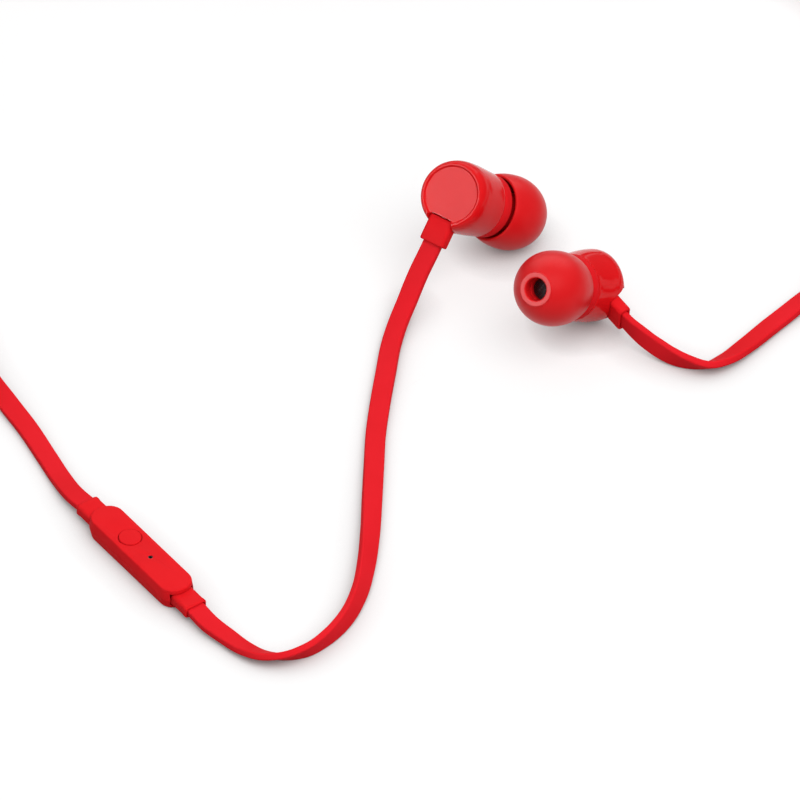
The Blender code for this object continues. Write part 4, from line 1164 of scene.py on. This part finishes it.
def floor():
    """White floor: a shade that takes the shadows, and a glow where it is seen, dimmed close to the pieces as a
    painted contact shadow.
    """
    size = 12.0
    mesh = bpy.data.meshes.new("floor")
    mesh.from_pydata([(-size, -size, 0), (size, -size, 0), (size, size, 0), (-size, size, 0)], [], [(0, 1, 2, 3)])
    material = bpy.data.materials.new("white_floor")
    material.use_nodes = True
    nodes, links = material.node_tree.nodes, material.node_tree.links
    shader = nodes["Principled BSDF"]
    shader.inputs["Base Color"].default_value = (FLOOR_SHADE, FLOOR_SHADE, FLOOR_SHADE, 1.0)
    shader.inputs["Roughness"].default_value = 0.9
    shader.inputs["Specular IOR Level"].default_value = 0.0
    shader.inputs["Emission Color"].default_value = (1.0, 1.0, 1.0, 1.0)
    # Ambient occlusion dims the glow near the pieces: a painted contact shadow.
    painted_contact_shade = nodes.new("ShaderNodeAmbientOcclusion")
    painted_contact_shade.samples = 6
    painted_contact_shade.inputs["Distance"].default_value = CONTACT_SHADOW
    path = nodes.new("ShaderNodeLightPath")
    maths = maths_in(material.node_tree)
    seen = maths("MAXIMUM", path.outputs["Is Camera Ray"], path.outputs["Is Glossy Ray"])
    seen = maths("MAXIMUM", seen, path.outputs["Is Transmission Ray"])
    glow = maths("MULTIPLY", seen, maths("MULTIPLY", painted_contact_shade.outputs["AO"], FLOOR_GLOW))
    links.new(glow, shader.inputs["Emission Strength"])
    mesh.materials.append(material)
    linked("floor", mesh)


def studio_world():
    """White where it is seen; as light, dark at the horizon and brighter overhead, for deep tones on gloss."""
    world = bpy.data.worlds.new("studio")
    bpy.context.scene.world = world
    world.use_nodes = True
    nodes, links = world.node_tree.nodes, world.node_tree.links
    place = nodes.new("ShaderNodeTexCoord")
    parts = nodes.new("ShaderNodeSeparateXYZ")
    links.new(place.outputs["Generated"], parts.inputs[0])
    ramp = tone_ramp(nodes, (0.0, (0.15, 0.15, 0.15)), (1.0, (0.80, 0.80, 0.80)))
    links.new(parts.outputs["Z"], ramp.inputs["Fac"])
    links.new(ramp.outputs["Color"], nodes["Background"].inputs["Color"])
    backdrop = nodes.new("ShaderNodeBackground")
    backdrop.inputs["Color"].default_value = (1.0, 1.0, 1.0, 1.0)
    path = nodes.new("ShaderNodeLightPath")
    either = nodes.new("ShaderNodeMixShader")
    links.new(path.outputs["Is Camera Ray"], either.inputs["Fac"])
    links.new(nodes["Background"].outputs[0], either.inputs[1])
    links.new(backdrop.outputs[0], either.inputs[2])
    links.new(either.outputs[0], nodes["World Output"].inputs["Surface"])


def softbox(name, place, size, energy, lights=True, reflects=True):
    """Panel aimed at the middle of the photo's view, as a light, or as a card that only gloss shows."""
    light = bpy.data.lights.new(name, "AREA")
    light.shape = "RECTANGLE"
    light.size, light.size_y = size
    light.energy = energy
    obj = linked(name, light)
    obj.location = place
    obj.rotation_euler = (AIM - Vector(place)).to_track_quat("-Z", "Y").to_euler()
    obj.visible_diffuse = lights
    obj.visible_glossy = reflects


AIM = Vector((0.0415, 0.0397, 0.0))
ELEVATION = math.radians(42)
DISTANCE = 5.5
PIXELS_PER_METRE = 6200.0


def camera():
    """Long lens at the photo's viewing angle."""
    data = bpy.data.cameras.new("camera")
    data.sensor_width = 36.0
    data.lens = 36.0 * PIXELS_PER_METRE * DISTANCE / 800.0
    data.clip_start = 0.1
    data.clip_end = 40.0
    obj = linked("camera", data)
    obj.location = AIM + Vector((0.0, -math.cos(ELEVATION), math.sin(ELEVATION))) * DISTANCE
    obj.rotation_euler = (QUARTER_TURN - ELEVATION, 0.0, 0.0)
    bpy.context.scene.camera = obj


floor()
studio_world()
softbox("key", (0.32, -0.40, 0.93), (1.0, 0.8), 7.0, reflects=False)
softbox("behind", (0.05, 0.80, 0.58), (1.4, 0.7), 6.0, lights=False)
softbox("face", (-0.59, -0.22, 0.575), (0.4, 0.4), 4.0, lights=False)
softbox("ring", (-0.657, -0.398, 0.311), (0.32, 0.28), 5.0, lights=False)
camera()
bpy.context.scene.view_settings.view_transform = "Standard"
